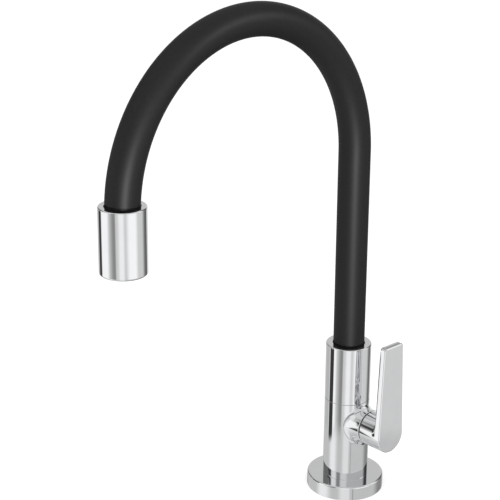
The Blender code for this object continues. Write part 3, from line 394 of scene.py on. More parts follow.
tail = bpy.data.node_groups.new("threaded_tail", "GeometryNodeTree")
given = sockets(tail, {
    "Radius": "Float", "Bore": "Float", "Bottom": "Float", "Top": "Float", "Pitch": "Float",
    "Depth": "Float", "Rings": "Int", "Around": "Int", "Material": "Material",
})
grid, inside, share, spin = tube_grid(tail, given["Rings"], given["Around"])
length = number(tail, "SUBTRACT", given["Top"], given["Bottom"])
high = number(tail, "MULTIPLY_ADD", share, length, given["Bottom"])
lead = number(tail, "SUBTRACT", number(tail, "DIVIDE", high, given["Pitch"]), number(tail, "DIVIDE", spin, math.tau))
groove = number(tail, "MULTIPLY", number(tail, "PINGPONG", lead, 0.5), 2)
groove = wired(tail, "ShaderNodeMapRange", {0: groove, 1: thread_flank[0], 2: thread_flank[1]}).outputs[0]
start = number(tail, "DIVIDE", number(tail, "SUBTRACT", high, given["Bottom"]), given["Pitch"])
start = number(tail, "MINIMUM", start, 1)
groove = number(tail, "MAXIMUM", groove, number(tail, "SUBTRACT", 1, start))
skin = number(tail, "SUBTRACT", given["Radius"], number(tail, "MULTIPLY", groove, given["Depth"]))
reach = wired(tail, "GeometryNodeSwitch", {0: inside, 1: skin, 2: given["Bore"]}, input_type="FLOAT").outputs[0]
points = wired(tail, "ShaderNodeCombineXYZ", {
    0: number(tail, "MULTIPLY", reach, number(tail, "COSINE", spin)),
    1: number(tail, "MULTIPLY", reach, number(tail, "SINE", spin)), 2: high,
}).outputs[0]
wrapped(tail, grid, points, given["Material"])

low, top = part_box("threaded_shank")
mesh = grown("tail_thread", tail, {
    "Radius": top.x, "Bore": tail_bore, "Bottom": low.z, "Top": top.z, "Pitch": thread_pitch,
    "Depth": thread_depth, "Rings": round((top.z - low.z) / thread_pitch * thread_samples),
    "Around": tail_around, "Material": brass,
})
piece("tail_thread", mesh, None, "base", "threaded_shank", "plain_brass", 50)


def section(corners, steps=5, ease=0.00015):
    """Points round a closed section of (radius, height, rounding) corners, with flats kept flat by close rows."""
    points = []
    for i, (radius, height, rounding) in enumerate(corners):
        here = Vector((radius, height))
        before = (Vector(corners[i - 1][:2]) - here).normalized()
        after = (Vector(corners[(i + 1) % len(corners)][:2]) - here).normalized()
        if not rounding:
            points.append(here)
            continue
        half = before.angle(after) / 2
        run = rounding / math.tan(half)
        centre = here + (before + after).normalized() * rounding / math.sin(half)
        first = (here + before * run - centre).normalized()
        last = (here + after * run - centre).normalized()
        points.append(centre + first * rounding + before * ease)
        points += [centre + first.slerp(last, k / steps) * rounding for k in range(steps + 1)]
        points.append(centre + last * rounding + after * ease)
    return points


def joined(skin, one, two):
    """Closes the wall between two rows that run round a piece."""
    for i in range(len(one)):
        skin.faces.new((one[i - 1], one[i], two[i], two[i - 1]))


def finished(name, skin):
    """The mesh of a closed skin, its faces outwards."""
    bmesh.ops.recalc_face_normals(skin, faces=skin.faces)
    mesh = bpy.data.meshes.new(name)
    skin.to_mesh(mesh)
    skin.free()
    return mesh


def lathed(name, outline, around):
    """A closed skin turned about the tap's upright axis."""
    skin = bmesh.new()
    loops = []
    for point in outline:
        count = around if point[0] > 1e-9 else 1
        turns = [math.tau * i / around for i in range(count)]
        loops.append([skin.verts.new((point[0] * math.cos(t), point[0] * math.sin(t), point[1])) for t in turns])
    pairs = list(zip(loops, loops[1:]))
    if len(loops[0]) > 1:
        pairs.append((loops[-1], loops[0]))
    for one, two in pairs:
        count = max(len(one), len(two))
        for i in range(count):
            j = (i + 1) % count
            corners = []
            for vertex in (one[i % len(one)], one[j % len(one)], two[j % len(two)], two[i % len(two)]):
                if vertex not in corners:
                    corners.append(vertex)
            if len(corners) > 2:
                skin.faces.new(corners)
    return finished(name, skin)


def turned(name, corners, material, body, node, finish, around=128, place=None):
    """A piece turned about the tap's upright axis, then moved to its place."""
    mesh = lathed(name, section(corners), around)
    if place:
        mesh.transform(place)
    return piece(name, mesh, material, body, node, finish)


for node, material, finish, edge in (
    ("rubber_washer", rubber, "seal_rubber", 0.0006), ("steel_washer", steel, "stainless_steel", 0.0002),
):
    low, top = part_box(node)
    turned(node + "_turned", [
        (washer_bore, low.z, edge), (top.x, low.z, edge), (top.x, top.z, edge), (washer_bore, top.z, edge),
    ], material, "base", node, finish)


def hexagonal(name, rows, around, place, capped):
    """A closed skin whose rows lie where a hexagon and a circle overlap.

    A row is half the width across the hexagon's flats, the circle's radius, and the height.
    """
    skin = bmesh.new()
    loops = []
    for flat, radius, height in rows:
        points = []
        for i in range(around):
            spin = math.tau * i / around
            reach = min(flat / math.cos((spin + math.pi / 6) % (math.pi / 3) - math.pi / 6), radius)
            points.append(place(reach * math.cos(spin), reach * math.sin(spin), height))
        loops.append([skin.verts.new(point) for point in points])
    for one, two in zip(loops, loops[1:] + ([] if capped else loops[:1])):
        joined(skin, one, two)
    if capped:
        skin.faces.new(loops[0])
        skin.faces.new(loops[-1])
    return finished(name, skin)


low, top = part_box("lock_nut")
nut_corner = max(top.y, top.x)
nut_face = nut_corner * math.cos(math.pi / 6)
nut_rows = [(nut_face, nut_corner - cut, low.z + depth) for cut, depth in nut_crown]
nut_rows += [(nut_face, nut_corner - cut, top.z - depth) for cut, depth in reversed(nut_crown)]
nut_rows += [(math.inf, radius, height) for radius, height in (
    (nut_bore + nut_chamfer, top.z), (nut_bore, top.z - nut_chamfer), (nut_bore, low.z + nut_chamfer),
    (nut_bore + nut_chamfer, low.z),
)]
mesh = hexagonal("forged_nut", nut_rows, nut_around, lambda x, y, z: (x, y, z), False)
piece("forged_nut", mesh, brass, "base", "lock_nut", "plain_brass", 20)


# Foot
#
# A round chrome-plated brass flange, turned and polished, hides the deck's hole. A flat rubber ring in its
# hollow seals it on the deck, and the body stands on it.

chrome = grained("polished_chrome", (0.86, 0.865, 0.875), (0.885, 0.89, 0.90), 1, (0.025, 0.05), 700, 0.0)
low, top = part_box("base_flange")
foot_hole = 0.0107
foot_hollow = 0.0265
foot_roof = 0.0035
foot_edge = 0.0011
shell_around = 192
foot_corners = [
    (foot_hole, foot_roof, 0), (foot_hollow, foot_roof, 0.0005), (foot_hollow, 0, 0.0003), (top.x, 0, 0.0003),
    (top.x, top.z, foot_edge), (foot_hole, top.z, 0),
]
turned("foot_flange", foot_corners, chrome, "base", "base_flange", "polished_chrome", shell_around)
dressed({"deck_gasket": rubber})


# Valve body
#
# One hot-pressed brass body, chrome-plated: an upright round column with a short branch for the valve. The
# branch's foot is ground into a soft fillet that runs out on the column.

low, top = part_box("valve_body")
column_radius = -low.x
foot_joint = 0.00003
seam_rise = 0.00008
column_low, column_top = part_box("base_flange")[1].z + foot_joint, top.z + seam_rise
hub_gap = 0.00025
branch_end = top.x - hub_gap
branch_axis = 0.0576
branch_radius = 0.0132
top_fillet = 0.0034
low_fillet = 0.0062
column_edge = 0.0001
branch_edge = 0.0004
branch_straight = 0.0012
flat_ease = 0.0001
body_around = 384
wall_rings = 40
wall_crowding = 1.5
rim_share = 0.8
fillet_rings = 24
edge_rings = 4
neck_well = (0.0103, 0.0684)
tail_well = (0.0107, 0.0270)
valve_well = (0.0107, 0.0110)
valve_nose = (0.0095, -0.0058)

wall_low, wall_top = column_low + column_edge, column_top - column_edge
spins = [math.tau * i / body_around for i in range(body_around)]


def ball(spin):
    """Radius and centre of the ball that rolls in the corner, larger below the branch than above it."""
    size = top_fillet + (low_fillet - top_fillet) * (1 - ((1 + math.cos(spin)) / 2) ** 2)
    across = -(branch_radius + size) * math.sin(spin)
    reach = math.sqrt((column_radius + size) ** 2 - across**2)
    return size, Vector((reach, across, (branch_radius + size) * math.cos(spin)))


def outer_place(spin):
    """Angle round the column and height where the wall's rows end, at its rim, foot or back."""
    lean = spin / math.tau * 4
    side = -1 if spin < math.pi else 1
    folded = lean if lean <= 2 else 4 - lean
    if folded < rim_share:
        return side * math.pi * folded / rim_share, wall_top
    if folded > 2 - rim_share:
        return side * math.pi * (2 - folded) / rim_share, wall_low
    return side * math.pi, wall_top + (wall_low - wall_top) * (folded - rim_share) / (2 - 2 * rim_share)


skin = bmesh.new()


def row(points):
    """Corners of the skin in hand, one for each point."""
    return [skin.verts.new(point) for point in points]


def about_branch(x, radius):
    """A row round the branch's axis."""
    return row([(x, -radius * math.sin(spin), branch_axis + radius * math.cos(spin)) for spin in spins])


rows = []
for k in range(wall_rings):
    share = (1 - k / wall_rings) ** wall_crowding
    points = []
    for spin in spins:
        middle = ball(spin)[1]
        near_turn = math.atan2(middle.y, middle.x)
        near_height = middle.z + branch_axis
        far_turn, far_height = outer_place(spin)
        angle = near_turn + (far_turn - near_turn) * share
        points.append((
            column_radius * math.cos(angle), column_radius * math.sin(angle),
            near_height + (far_height - near_height) * share,
        ))
    rows.append(row(points))
for k in range(fillet_rings + 1):
    points = []
    for spin in spins:
        middle = ball(spin)[1]
        outward = Vector((middle.x, middle.y, 0)).normalized()
        foot = outward * column_radius + Vector((0, 0, middle.z + branch_axis))
        side = Vector((0, -branch_radius * math.sin(spin), branch_axis + branch_radius * math.cos(spin)))
        head = Vector((branch_end - branch_straight, side.y, side.z))
        corner = Vector(((column_radius - side.y * outward.y) / outward.x, side.y, side.z))
        bend = (corner - foot).angle(head - corner)
        share = k / fillet_rings
        pull = 2 * math.cos(bend / 2) * share * (1 - share)
        place = foot * (1 - share) ** 2 + corner * pull + head * share**2
        points.append(place / ((1 - share) ** 2 + pull + share**2))
    rows.append(row(points))
for k in range(1, edge_rings + 1):
    points = []
    for spin, vertex in zip(spins, rows[wall_rings + fillet_rings]):
        x = vertex.co.x + (branch_end - branch_edge - vertex.co.x) * k / edge_rings
        points.append((x, -branch_radius * math.sin(spin), branch_axis + branch_radius * math.cos(spin)))
    rows.append(row(points))
for k in range(1, edge_rings + 1):
    lean = math.pi / 2 * k / edge_rings
    x = branch_end - branch_edge * (1 - math.sin(lean))
    rows.append(about_branch(x, branch_radius - branch_edge * (1 - math.cos(lean))))
rows += [about_branch(x, radius) for x, radius in (
    (branch_end, branch_radius - branch_edge - flat_ease), (branch_end, valve_well[0]),
    (valve_well[1], valve_well[0]), (valve_well[1], valve_nose[0]), (valve_nose[1], valve_nose[0]),
)]
for one, two in zip(rows, rows[1:]):
    joined(skin, one, two)
skin.faces.new(rows[-1])

for wall_end, column_end, inward, well in (
    (wall_top, column_top, 1, neck_well), (wall_low, column_low, -1, tail_well),
):
    turns = sorted({round(outer_place(spin)[0], 9) for spin in spins if abs(outer_place(spin)[1] - wall_end) < 1e-9})
    turns = [t for t in turns if t > -math.pi + 1e-6]
    rims = []
    for k in range(edge_rings + 1):
        lean = math.pi / 2 * k / edge_rings
        radius = column_radius - column_edge * (1 - math.cos(lean))
        rims.append((radius, wall_end + inward * column_edge * math.sin(lean)))
    rims += [(column_radius - column_edge - flat_ease, column_end), (well[0], column_end), well]
    rows = [row([(r * math.cos(t), r * math.sin(t), z) for t in turns]) for r, z in rims]
    for one, two in zip(rows, rows[1:]):
        joined(skin, one, two)
    skin.faces.new(rows[-1])
bmesh.ops.remove_doubles(skin, verts=skin.verts, dist=0.000001)
mesh = finished("branched_body", skin)
piece("branched_body", mesh, chrome, "base", "valve_body", "polished_chrome")


# Valve inside the branch
#
# A brass cartridge screwed into the branch holds two lapped ceramic discs. The outer one turns with the
# spindle, and rubber rings seal the cartridge and the spindle.

ceramic = grained("grey_ceramic", (0.31, 0.30, 0.295), (0.38, 0.37, 0.36), 0, (0.22, 0.34), 3000, 0.000005)
dressed({
    "headwork_body": brass, "valve_spindle": brass, "seat_seal": rubber, "headwork_o_ring": rubber,
    "spindle_o_ring": rubber, "fixed_ceramic_disc": ceramic, "moving_ceramic_disc": ceramic,
    "spindle_circlip": steel,
})


# Lever
#
# One zinc casting, polished and chrome-plated: a round hub that covers the branch's end, and a flat plate
# that stands up from it and narrows to its top. A set screw at the back of the hub holds it on the spindle.

low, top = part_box("lever")
hub_start, face = low.x + hub_gap, top.x
plate_rise = top.z - branch_axis
plate_back = 0.0414
plate_top_half = 0.0101
plate_corner = 0.0025
face_edge = 0.0008
back_edge = 0.0010
hub_fillet = 0.0036
top_slope = 0.12
top_bevel = (0.0008, 0.0008)
hub_edge = 0.0003
hub_recess = (0.0100, 0.0305)
hub_socket = (0.0043, 0.0378)
row_ease = 0.0002
face_rings = 6
back_rings = 8
side_share, corner_share = 0.3, 0.1
lever_around = 384
drill_radius = 0.0023
drill_length = 0.01
hub_drill_start = 0.008
screw_around = 48
screw_tip = (0.0008, 0.0009)
screw_edge = 0.0003
screw_mouth = 0.00135
screw_socket = (0.0010, 0.0020)


def plate_outline(inset):
    """Y and Z round the plate, from the hub's right side over the top and round below."""
    points = []
    half = lever_around // 2
    corner = plate_corner - inset
    corner_y = plate_top_half - plate_corner
    corner_z = plate_rise - plate_corner
    turn_end = side_share + corner_share
    for i in range(half):
        share = i / half
        if share < side_share:
            foot = Vector((branch_radius - inset, 0))
            head = Vector((corner_y + corner, corner_z))
            points.append(foot.lerp(head, share / side_share))
        elif share <= turn_end:
            lean = math.pi / 2 * (share - side_share) / corner_share
            points.append(Vector((corner_y + corner * math.cos(lean), corner_z + corner * math.sin(lean))))
        elif share < 1 - turn_end:
            points.append(Vector((corner_y * (1 - (share - turn_end) / (0.5 - turn_end)), corner_z + corner)))
        elif share <= 1 - side_share:
            lean = math.pi / 2 * (share - 1 + turn_end) / corner_share
            points.append(Vector((-corner_y - corner * math.sin(lean), corner_z + corner * math.cos(lean))))
        else:
            foot = Vector((inset - branch_radius, 0))
            head = Vector((-corner_y - corner, corner_z))
            points.append(head.lerp(foot, (share - 1 + side_share) / side_share))
    for i in range(half):
        lean = math.pi + math.pi * i / half
        points.append((branch_radius - inset) * Vector((math.cos(lean), math.sin(lean))))
    return points


skin = bmesh.new()


def plate_row(x, inset):
    """A row round the plate."""
    return row([(x, y, branch_axis + z) for y, z in plate_outline(inset)])


rows = [plate_row(face, face_edge + row_ease)]
skin.faces.new(rows[0])
for k in range(face_rings + 1):
    lean = math.pi / 2 * k / face_rings
    rows.append(plate_row(face - face_edge * (1 - math.cos(lean)), face_edge * (1 - math.sin(lean))))
rows.append(plate_row(face - face_edge - row_ease, 0))
outline = plate_outline(0)
hub_turns = [math.tau * i / lever_around for i in range(lever_around)]
hub_ring = [branch_radius * Vector((math.cos(t), math.sin(t))) for t in hub_turns]


def back_row(travel, lower_x):
    """One row across the plate's back, from its edge inwards to the hub, and straight round below."""
    points = []
    for i, (edge, hub) in enumerate(zip(outline, hub_ring)):
        span = (hub - edge).length
        if i >= lever_around // 2 or span < 1e-6:
            points.append((lower_x, *hub))
            continue
        points.append(travel(edge, (hub - edge) / span, span))
    return points


def rounded_back(lean):
    """Rounds the edge between the plate's side and its back."""
    def place(edge, inward, span):
        size = min(back_edge, span / 3)
        return (plate_back + size * (1 - math.sin(lean)), *(edge + inward * size * (1 - math.cos(lean))))
    return place


def rounded_hub(lean):
    """Rounds the corner between the plate's back and the hub."""
    def place(edge, inward, span):
        size = min(hub_fillet, span / 2)
        return (plate_back - size * (1 - math.cos(lean)), *(edge + inward * (span - size * (1 - math.sin(lean)))))
    return place


def flat_back(share):
    """Crosses the flat between the two roundings."""
    def place(edge, inward, span):
        first, last = min(back_edge, span / 3), span - min(hub_fillet, span / 2)
        return (plate_back, *(edge + inward * (first + (last - first) * share)))
    return place


leans = [math.pi / 2 * k / back_rings for k in range(back_rings + 1)]
back_rows = [rounded_back(lean) for lean in leans] + [flat_back(0.05), flat_back(0.95)]
back_rows += [rounded_hub(lean) for lean in leans]
for k, travel in enumerate(back_rows):
    lower = plate_back + back_edge - (back_edge + hub_fillet) * k / (len(back_rows) - 1)
    rows.append(row([(x, y, branch_axis + z) for x, y, z in back_row(travel, lower)]))
for x, radius in (
    (hub_start + hub_edge + row_ease, branch_radius), (hub_start + hub_edge, branch_radius),
    (hub_start + hub_edge * 0.3, branch_radius - hub_edge * 0.3), (hub_start, branch_radius - hub_edge),
    (hub_start, hub_recess[0]), (hub_recess[1], hub_recess[0]), (hub_recess[1], hub_socket[0]),
    (hub_socket[1], hub_socket[0]),
):
    rows.append(row([(x, radius * math.cos(t), branch_axis + radius * math.sin(t)) for t in hub_turns]))
for one, two in zip(rows, rows[1:]):
    joined(skin, one, two)
skin.faces.new(rows[-1])
for vertex in skin.verts:
    crown = (vertex.co.z - top.z) / plate_corner + 1
    if crown > 0:
        forward = max(0, (vertex.co.x - face + top_bevel[0]) / top_bevel[0])
        vertex.co.z -= min(crown, 1) * (top_slope * (vertex.co.x - plate_back) + top_bevel[1] * forward)
lever = piece("cast_lever", finished("cast_lever", skin), chrome, "lever", "lever", "polished_chrome")


def drilled(target, start):
    """Cuts the round hole of a set screw into a piece, outwards along Y."""
    drill = bmesh.new()
    middle = Matrix.Translation(Vector(start) + Vector((0, drill_length / 2, 0)))
    bmesh.ops.create_cone(
        drill, cap_ends=True, segments=screw_around, radius1=drill_radius, radius2=drill_radius,
        depth=drill_length, matrix=middle @ Matrix.Rotation(-math.pi / 2, 4, "X"),
    )
    drill_mesh = bpy.data.meshes.new("drill")
    drill.to_mesh(drill_mesh)
    drill.free()
    drill_object = bpy.data.objects.new("drill", drill_mesh)
    bpy.context.scene.collection.objects.link(drill_object)
    step = target.modifiers.new("hole", "BOOLEAN")
    step.operation = "DIFFERENCE"
    step.solver = "EXACT"
    step.object = drill_object
    bpy.context.view_layer.update()
    cut = bpy.data.meshes.new_from_object(target.evaluated_get(bpy.context.evaluated_depsgraph_get()))
    target.modifiers.remove(step)
    bpy.data.objects.remove(drill_object)
    name = target.data.name
    target.data = cut
    cut.name = name
    cut.set_sharp_from_angle(angle=math.radians(32))


def set_screw(name, low, top, body, node):
    """A headless steel screw along Y, with a hexagon socket in its outer end and a pointed tip."""
    middle = (low + top) / 2
    radius = (top.x - low.x) / 2
    rows = [(math.inf, reach, depth) for reach, depth in (
        (screw_tip[0], low.y), (radius - row_ease, low.y + screw_tip[1]),
        (radius, low.y + screw_tip[1] + screw_edge), (radius, top.y - screw_edge), (radius - screw_edge, top.y),
        (screw_mouth, top.y),
    )]
    rows += [(screw_socket[0], math.inf, top.y - depth) for depth in (row_ease, screw_socket[1])]
    mesh = hexagonal(name, rows, screw_around, lambda x, y, z: (middle.x + x, z, middle.z + y), True)
    piece(name, mesh, steel, body, node, "stainless_steel", 25)
    return middle


screw_middle = set_screw("lever_set_screw", *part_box("lever_grub_screw"), "lever", "lever_grub_screw")
drilled(lever, (screw_middle.x, hub_drill_start, screw_middle.z))


# Swivel
#
# A turned brass neck stands in the body, with two rubber rings in its grooves. The chrome sleeve and the
# brass socket inside it turn on the neck, on a slippery ring in the seam, and a set screw holds them down.

white_plastic = grained("white_plastic", (0.70, 0.70, 0.69), (0.78, 0.78, 0.77), 0, (0.38, 0.5), 1800, 0.000008)
dressed({
    "swivel_neck": brass, "swivel_socket": brass, "neck_o_ring_lower": rubber, "neck_o_ring_upper": rubber,
    "seam_glide_ring": white_plastic,
})

low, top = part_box("upper_sleeve")
sleeve_radius = top.x
sleeve_bore = 0.0155
sleeve_mouth = 0.0122
sleeve_rim = 0.003
seam_cover = 0.00012
sleeve_edge = 0.0008
sleeve_drill_start = 0.012
sleeve_corners = [
    (sleeve_bore, low.z - seam_cover, 0), (sleeve_radius, low.z - seam_cover, 0.0001),
    (sleeve_radius, top.z, sleeve_edge), (sleeve_mouth, top.z, 0.0003), (sleeve_mouth, top.z - sleeve_rim, 0),
    (sleeve_bore, top.z - sleeve_rim, 0),
]
sleeve = turned("turned_sleeve", sleeve_corners, chrome, "spout", "upper_sleeve", "polished_chrome", shell_around)
screw_middle = set_screw("swivel_set_screw", *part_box("swivel_grub_screw"), "spout", "swivel_grub_screw")
drilled(sleeve, (screw_middle.x, sleeve_drill_start, screw_middle.z))


# Collar and ferrule at the sleeve
#
# A black moulded collar lines the hole where the hose leaves the sleeve and stands a little above its rim; its
# near-black colour is partly its own and partly painted shade of the gap round the hose.
# A steel ferrule is pressed on the hose's end below it.

# Near-black with weak gloss: the collars are black plastic, and this tone also paints in the shade of the gap where
# the hose enters the shell.
black_plastic = grained("black_plastic", (0.003, 0.003, 0.003), (0.006, 0.006, 0.006), 0, (0.45, 0.6), 2200, 0.00001)
black_plastic.node_tree.nodes["Principled BSDF"].inputs["Specular IOR Level"].default_value = 0.15
collar_outer = 0.0120
collar_bore = 0.0114
collar_flange = 0.002
collar_lip = 0.0007


def collar(name, low, reach, rim, body, node, place=None):
    """A collar with a flange below a shell's rim and a soft lip above it."""
    turned(name, [
        (collar_bore, low, 0), (reach, low, 0.0002), (reach, low + collar_flange, 0.0002),
        (collar_outer, low + collar_flange, 0), (collar_outer, rim + collar_lip, 0.0003),
        (collar_bore, rim + collar_lip, 0.0001),
    ], black_plastic, body, node, "black_plastic", place=place)


low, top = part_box("lower_collar")
collar("moulded_collar", low.z, top.x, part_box("upper_sleeve")[1].z, "spout", "lower_collar")
dressed({"lower_ferrule": steel})


# Hose, water tube and gooseneck
#
# A smooth black silicone hose covers a chain of hollow steel lengths, each a ball in the next one's cup,
# that stays where it is bent. The drinking water runs in a thin white tube inside them all.

silicone_dark, silicone_light = (0.0150, 0.0150, 0.0153), (0.0175, 0.0175, 0.0178)
silicone = grained("matte_black_silicone", silicone_dark, silicone_light, 0, (0.48, 0.52), 2600, 0)
silicone.node_tree.nodes["Principled BSDF"].inputs["Specular IOR Level"].default_value = 0.10
hose_radius = 0.0119
hose_bore = 0.0095
hose_end_radius = 0.0109
hose_rounding = 0.0005
hose_around = 96
tube_radius = 0.0036
tube_bore = 0.0025
tube_around = 24
ring_step = 0.0015
end_step = 0.0003
arch_start = 0.2718
arch_radius = 0.1099
arch_crown = 0.458
arch_steps = 1200
bend_spacing = 0.061651
bend_count = 8
first_seam = 0.1204
hose_low = 0.1076
tube_low = 0.1028
collar_shoulder = 0.0009
nozzle_lift = 0.0018
nozzle_collar = first_seam + bend_spacing * bend_count - nozzle_lift
hose_high = 0.627
tube_high = 0.630
bend_ease = 0.0036
way_end = 0.05


def heading(share):
    """Heading of the water's way at a share of the arch, tighter at the crown than at its feet."""
    lean = share - 0.5
    return math.pi * (share - arch_crown * (lean**3 / 3 + 1 / 24 - share / 12))


arch_length = arch_radius * math.pi
arch_end = arch_start + arch_length
path = [Vector((0, 0, 0)), Vector((0, 0, arch_start))]
for i in range(arch_steps):
    lean = heading((i + 0.5) / arch_steps)
    path.append(path[-1] + arch_length / arch_steps * Vector((0, -math.sin(lean), math.cos(lean))))
path.append(path[-1] + Vector((0, 0, -way_end)))
water_way = bpy.data.meshes.new("water_way")
water_way.from_pydata(path, [(i, i + 1) for i in range(len(path) - 1)], [])


def place_at(distance):
    """Point on the water's way at a distance from the deck."""
    if distance < arch_start:
        return Vector((0, 0, distance))
    place = min((distance - arch_start) / arch_length, 1) * arch_steps
    before = min(int(place), arch_steps - 1)
    return path[before + 1].lerp(path[before + 2], place - before)


hose = bpy.data.node_groups.new("hose_length", "GeometryNodeTree")
given = sockets(hose, {
    "From": "Float", "To": "Float", "Radius": "Float", "Bore": "Float", "End Radius": "Float",
    "Low Shoulder": "Float", "High Shoulder": "Float", "Rounding": "Float", "Rings": "Int", "Around": "Int",
    "Material": "Material",
})
grid, inside, share, spin = tube_grid(hose, given["Rings"], given["Around"])
along = number(hose, "MULTIPLY_ADD", share, number(hose, "SUBTRACT", given["To"], given["From"]), given["From"])
above = number(hose, "SUBTRACT", along, given["Low Shoulder"])
depth = number(hose, "MINIMUM", above, number(hose, "SUBTRACT", given["High Shoulder"], along))
short = number(hose, "SUBTRACT", given["Rounding"], number(hose, "MAXIMUM", depth, 0))
short = number(hose, "MAXIMUM", short, 0)
square = number(hose, "MULTIPLY", given["Rounding"], given["Rounding"])
square = number(hose, "SUBTRACT", square, number(hose, "MULTIPLY", short, short))
rounded = number(hose, "ADD", given["Radius"], number(hose, "SQRT", square))
rounded = number(hose, "SUBTRACT", rounded, given["Rounding"])
outer = wired(hose, "GeometryNodeSwitch", {
    0: number(hose, "GREATER_THAN", depth, 0), 1: given["End Radius"], 2: rounded,
}, input_type="FLOAT").outputs[0]
reach = wired(hose, "GeometryNodeSwitch", {0: inside, 1: outer, 2: given["Bore"]}, input_type="FLOAT").outputs[0]
line = wired(hose, "GeometryNodeMeshToCurve", {0: given["Mesh"]}).outputs[0]
spot = wired(hose, "GeometryNodeSampleCurve", {"Curves": line, "Length": along}, mode="LENGTH")
side = wired(hose, "ShaderNodeVectorMath", {
    0: spot.outputs["Tangent"], 1: (1, 0, 0),
}, operation="CROSS_PRODUCT").outputs[0]
side = wired(hose, "ShaderNodeVectorMath", {
    0: side, "Scale": number(hose, "MULTIPLY", reach, number(hose, "SINE", spin)),
}, operation="SCALE").outputs[0]
across = number(hose, "MULTIPLY", reach, number(hose, "COSINE", spin))
flat = wired(hose, "ShaderNodeCombineXYZ", {0: across}).outputs[0]
points = wired(hose, "ShaderNodeVectorMath", {0: spot.outputs["Position"], 1: side}, operation="ADD").outputs[0]
points = wired(hose, "ShaderNodeVectorMath", {0: points, 1: flat}, operation="ADD").outputs[0]
wrapped(hose, grid, points, given["Material"])

lengths = (
    ("hose", "hose_sleeve", "matte_black_silicone", silicone, hose_radius, hose_bore, hose_end_radius,
     hose_around, hose_low, hose_high),
    ("tube", "water_tube", "white_plastic", white_plastic, tube_radius, tube_bore, tube_radius,
     tube_around, tube_low, tube_high),
)
for kind, node, finish, material, radius, bore, end_radius, around, first, last in lengths:
    for k in range(bend_count):
        seam = first_seam + bend_spacing * k
        begin = first if k == 0 else seam
        finish_at = last if k == bend_count - 1 else seam + bend_spacing
        step = end_step if kind == "hose" and k in (0, bend_count - 1) else ring_step
        mesh = grown(f"{kind}_{k + 1}", hose, {
            "From": begin, "To": finish_at, "Radius": radius, "Bore": bore, "End Radius": end_radius,
            "Low Shoulder": first_seam + collar_shoulder, "High Shoulder": nozzle_collar - collar_shoulder,
            "Rounding": hose_rounding, "Rings": math.ceil((finish_at - begin) / step) + 1, "Around": around,
            "Material": material,
        }, water_way)
        length_piece = piece(f"{kind}_{k + 1}", mesh, None, None, node, finish)
        ends = place_at(seam), place_at(seam + bend_spacing)
        chord = (ends[1] - ends[0]).normalized()
        begun, ended = ends[0] + chord * bend_ease, ends[1] - chord * bend_ease
        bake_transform(length_piece)
        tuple(begun)
        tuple(ended)
        if kind == "hose":
            hose_lit.objects.link(length_piece)

dressed({f"gooseneck_{part}": steel for part in ["root", "tip"] + [f"length_{k}" for k in range(1, bend_count)]})


# Nozzle
#
# A short chrome shell, turned like the sleeve, with its own black collar round the hose. Inside it a steel
# ferrule grips the hose and a brass core takes the aerator's thread. In the photo the shell sits a little
# higher than the solid does, so the shell, its collar and the aerator are lifted.

nozzle_axis = Matrix.Translation((0, place_at(arch_end).y, 0))
low, top = [corner + Vector((0, 0, nozzle_lift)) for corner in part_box("nozzle_sleeve")]
shell_radius = top.x
shell_bore = 0.0146
shell_mouth = 0.0122
shell_low_edge = 0.0014
shell_top_edge = 0.0009
shell_rim = 0.003
shell_corners = [
    (shell_bore, low.z, 0.0003), (shell_radius, low.z, shell_low_edge), (shell_radius, top.z, shell_top_edge),
    (shell_mouth, top.z, 0.0003), (shell_mouth, top.z - shell_rim, 0), (shell_bore, top.z - shell_rim, 0),
]
turned(
    "turned_nozzle", shell_corners, chrome, "nozzle", "nozzle_sleeve", "polished_chrome", shell_around, nozzle_axis,
)

shell_top = top.z
low, top = [corner + Vector((0, 0, nozzle_lift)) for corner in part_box("upper_collar")]
collar("nozzle_collar", low.z, top.x, shell_top, "nozzle", "upper_collar", nozzle_axis)
dressed({"upper_ferrule": steel, "nozzle_adapter": brass, "aerator_seal": rubber})


# Aerator
#
# A chrome ring screwed into the nozzle, with a lip that holds a white moulded insert. The insert's face is a
# comb of small cells that gives the water its even stream.

low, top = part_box("aerator_housing")
low.z += nozzle_lift
ring_bore = 0.0099
ring_thread = 0.0118
ring_lip = 0.0088
ring_lip_height = 0.001
ring_flange = 0.0036
ring_corners = [
    (ring_bore, top.z, 0), (ring_thread, top.z, 0.0003), (ring_thread, low.z + ring_flange, 0),
    (top.x, low.z + ring_flange, 0.0002), (top.x, low.z, 0.0004), (ring_lip, low.z, 0.0003),
    (ring_lip, low.z + ring_lip_height, 0), (ring_bore, low.z + ring_lip_height, 0),
]
turned("aerator_ring", ring_corners, chrome, "nozzle", "aerator_housing", "polished_chrome", place=nozzle_axis)

low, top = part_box("aerator_insert")
low.z += nozzle_lift
insert_radius = (top.x - low.x) / 2
insert_wall = 0.0007
cup_around = 96
comb_depth = 0.0036
comb_lift = 0.0001
comb_short = 0.0004
comb_pitch = 0.00145
comb_wall = 0.00022
comb_rows = 15
cell_room = 0.62
cup_corners = [
    (0, low.z + comb_depth, 0), (insert_radius - insert_wall, low.z + comb_depth, 0),
    (insert_radius - insert_wall, low.z, 0.0001), (insert_radius, low.z, 0.0003), (insert_radius, top.z, 0.0004),
    (0, top.z, 0),
]
turned("aerator_cup", cup_corners, white_plastic, "nozzle", "aerator_insert", "white_plastic", cup_around, nozzle_axis)

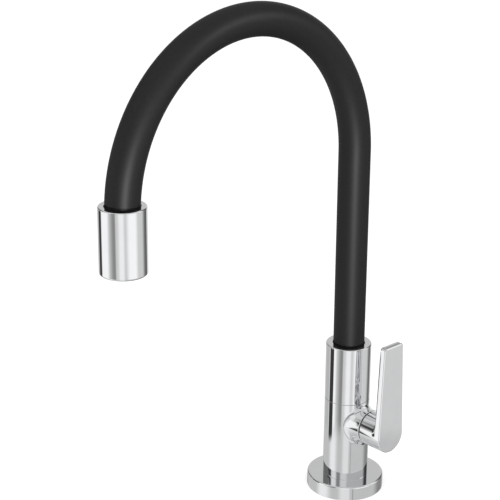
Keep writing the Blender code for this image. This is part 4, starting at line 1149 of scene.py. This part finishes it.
comb = bpy.data.node_groups.new("aerator_comb", "GeometryNodeTree")
given = sockets(comb, {
    "Radius": "Float", "Pitch": "Float", "Wall": "Float", "Depth": "Float", "Rows": "Int", "Middle": "Vector",
    "Material": "Material",
})
index = wired(comb, "GeometryNodeInputIndex").outputs[0]
half_rows = number(comb, "DIVIDE", number(comb, "SUBTRACT", given["Rows"], 1), 2)
rank = number(comb, "FLOOR", number(comb, "DIVIDE", index, given["Rows"]))
rank = number(comb, "SUBTRACT", rank, half_rows)
file = number(comb, "SUBTRACT", number(comb, "MODULO", index, given["Rows"]), half_rows)
shift = number(comb, "MULTIPLY", number(comb, "FLOORED_MODULO", rank, 2), 0.5)
spots = wired(comb, "ShaderNodeCombineXYZ", {
    0: number(comb, "MULTIPLY", number(comb, "ADD", file, shift), given["Pitch"]),
    1: number(comb, "MULTIPLY", number(comb, "MULTIPLY", rank, given["Pitch"]), math.sqrt(3) / 2),
}).outputs[0]
cells = wired(comb, "GeometryNodePoints", {
    "Count": number(comb, "MULTIPLY", given["Rows"], given["Rows"]), "Position": spots,
}).outputs[0]
reach = wired(comb, "ShaderNodeVectorMath", {
    0: wired(comb, "GeometryNodeInputPosition").outputs[0],
}, operation="LENGTH").outputs["Value"]
reach = number(comb, "ADD", reach, number(comb, "MULTIPLY", given["Pitch"], cell_room))
outside = number(comb, "GREATER_THAN", reach, given["Radius"])
cells = wired(comb, "GeometryNodeDeleteGeometry", {"Geometry": cells, "Selection": outside}, domain="POINT").outputs[0]
cell_width = number(comb, "SUBTRACT", given["Pitch"], given["Wall"])
cell_line = wired(comb, "GeometryNodeCurvePrimitiveCircle", {
    "Resolution": 6, "Radius": number(comb, "MULTIPLY", cell_width, 1 / math.sqrt(3)),
}).outputs[0]
cell_wall = wired(comb, "GeometryNodeCurvePrimitiveQuadrilateral", {
    "Width": given["Wall"], "Height": given["Depth"],
}).outputs[0]
cell = wired(comb, "GeometryNodeCurveToMesh", {"Curve": cell_line, "Profile Curve": cell_wall}).outputs[0]
placed = wired(comb, "GeometryNodeInstanceOnPoints", {
    "Points": cells, "Instance": cell, "Rotation": (0, 0, math.pi / 6),
}).outputs[0]
real = wired(comb, "GeometryNodeRealizeInstances", {"Geometry": placed}).outputs[0]
set_down = wired(comb, "GeometryNodeSetPosition", {"Geometry": real, "Offset": given["Middle"]}).outputs[0]
coloured = wired(comb, "GeometryNodeSetMaterial", {"Geometry": set_down, "Material": given["Material"]}).outputs[0]
wired(comb, "NodeGroupOutput", {0: coloured})
comb_middle = ((low.x + top.x) / 2, (low.y + top.y) / 2, low.z + comb_depth / 2 + comb_lift)
mesh = grown("aerator_comb", comb, {
    "Radius": insert_radius - insert_wall, "Pitch": comb_pitch, "Wall": comb_wall, "Depth": comb_depth - comb_short,
    "Rows": comb_rows, "Middle": comb_middle, "Material": white_plastic,
})
piece("aerator_comb", mesh, None, "nozzle", "aerator_insert", "white_plastic", 20)
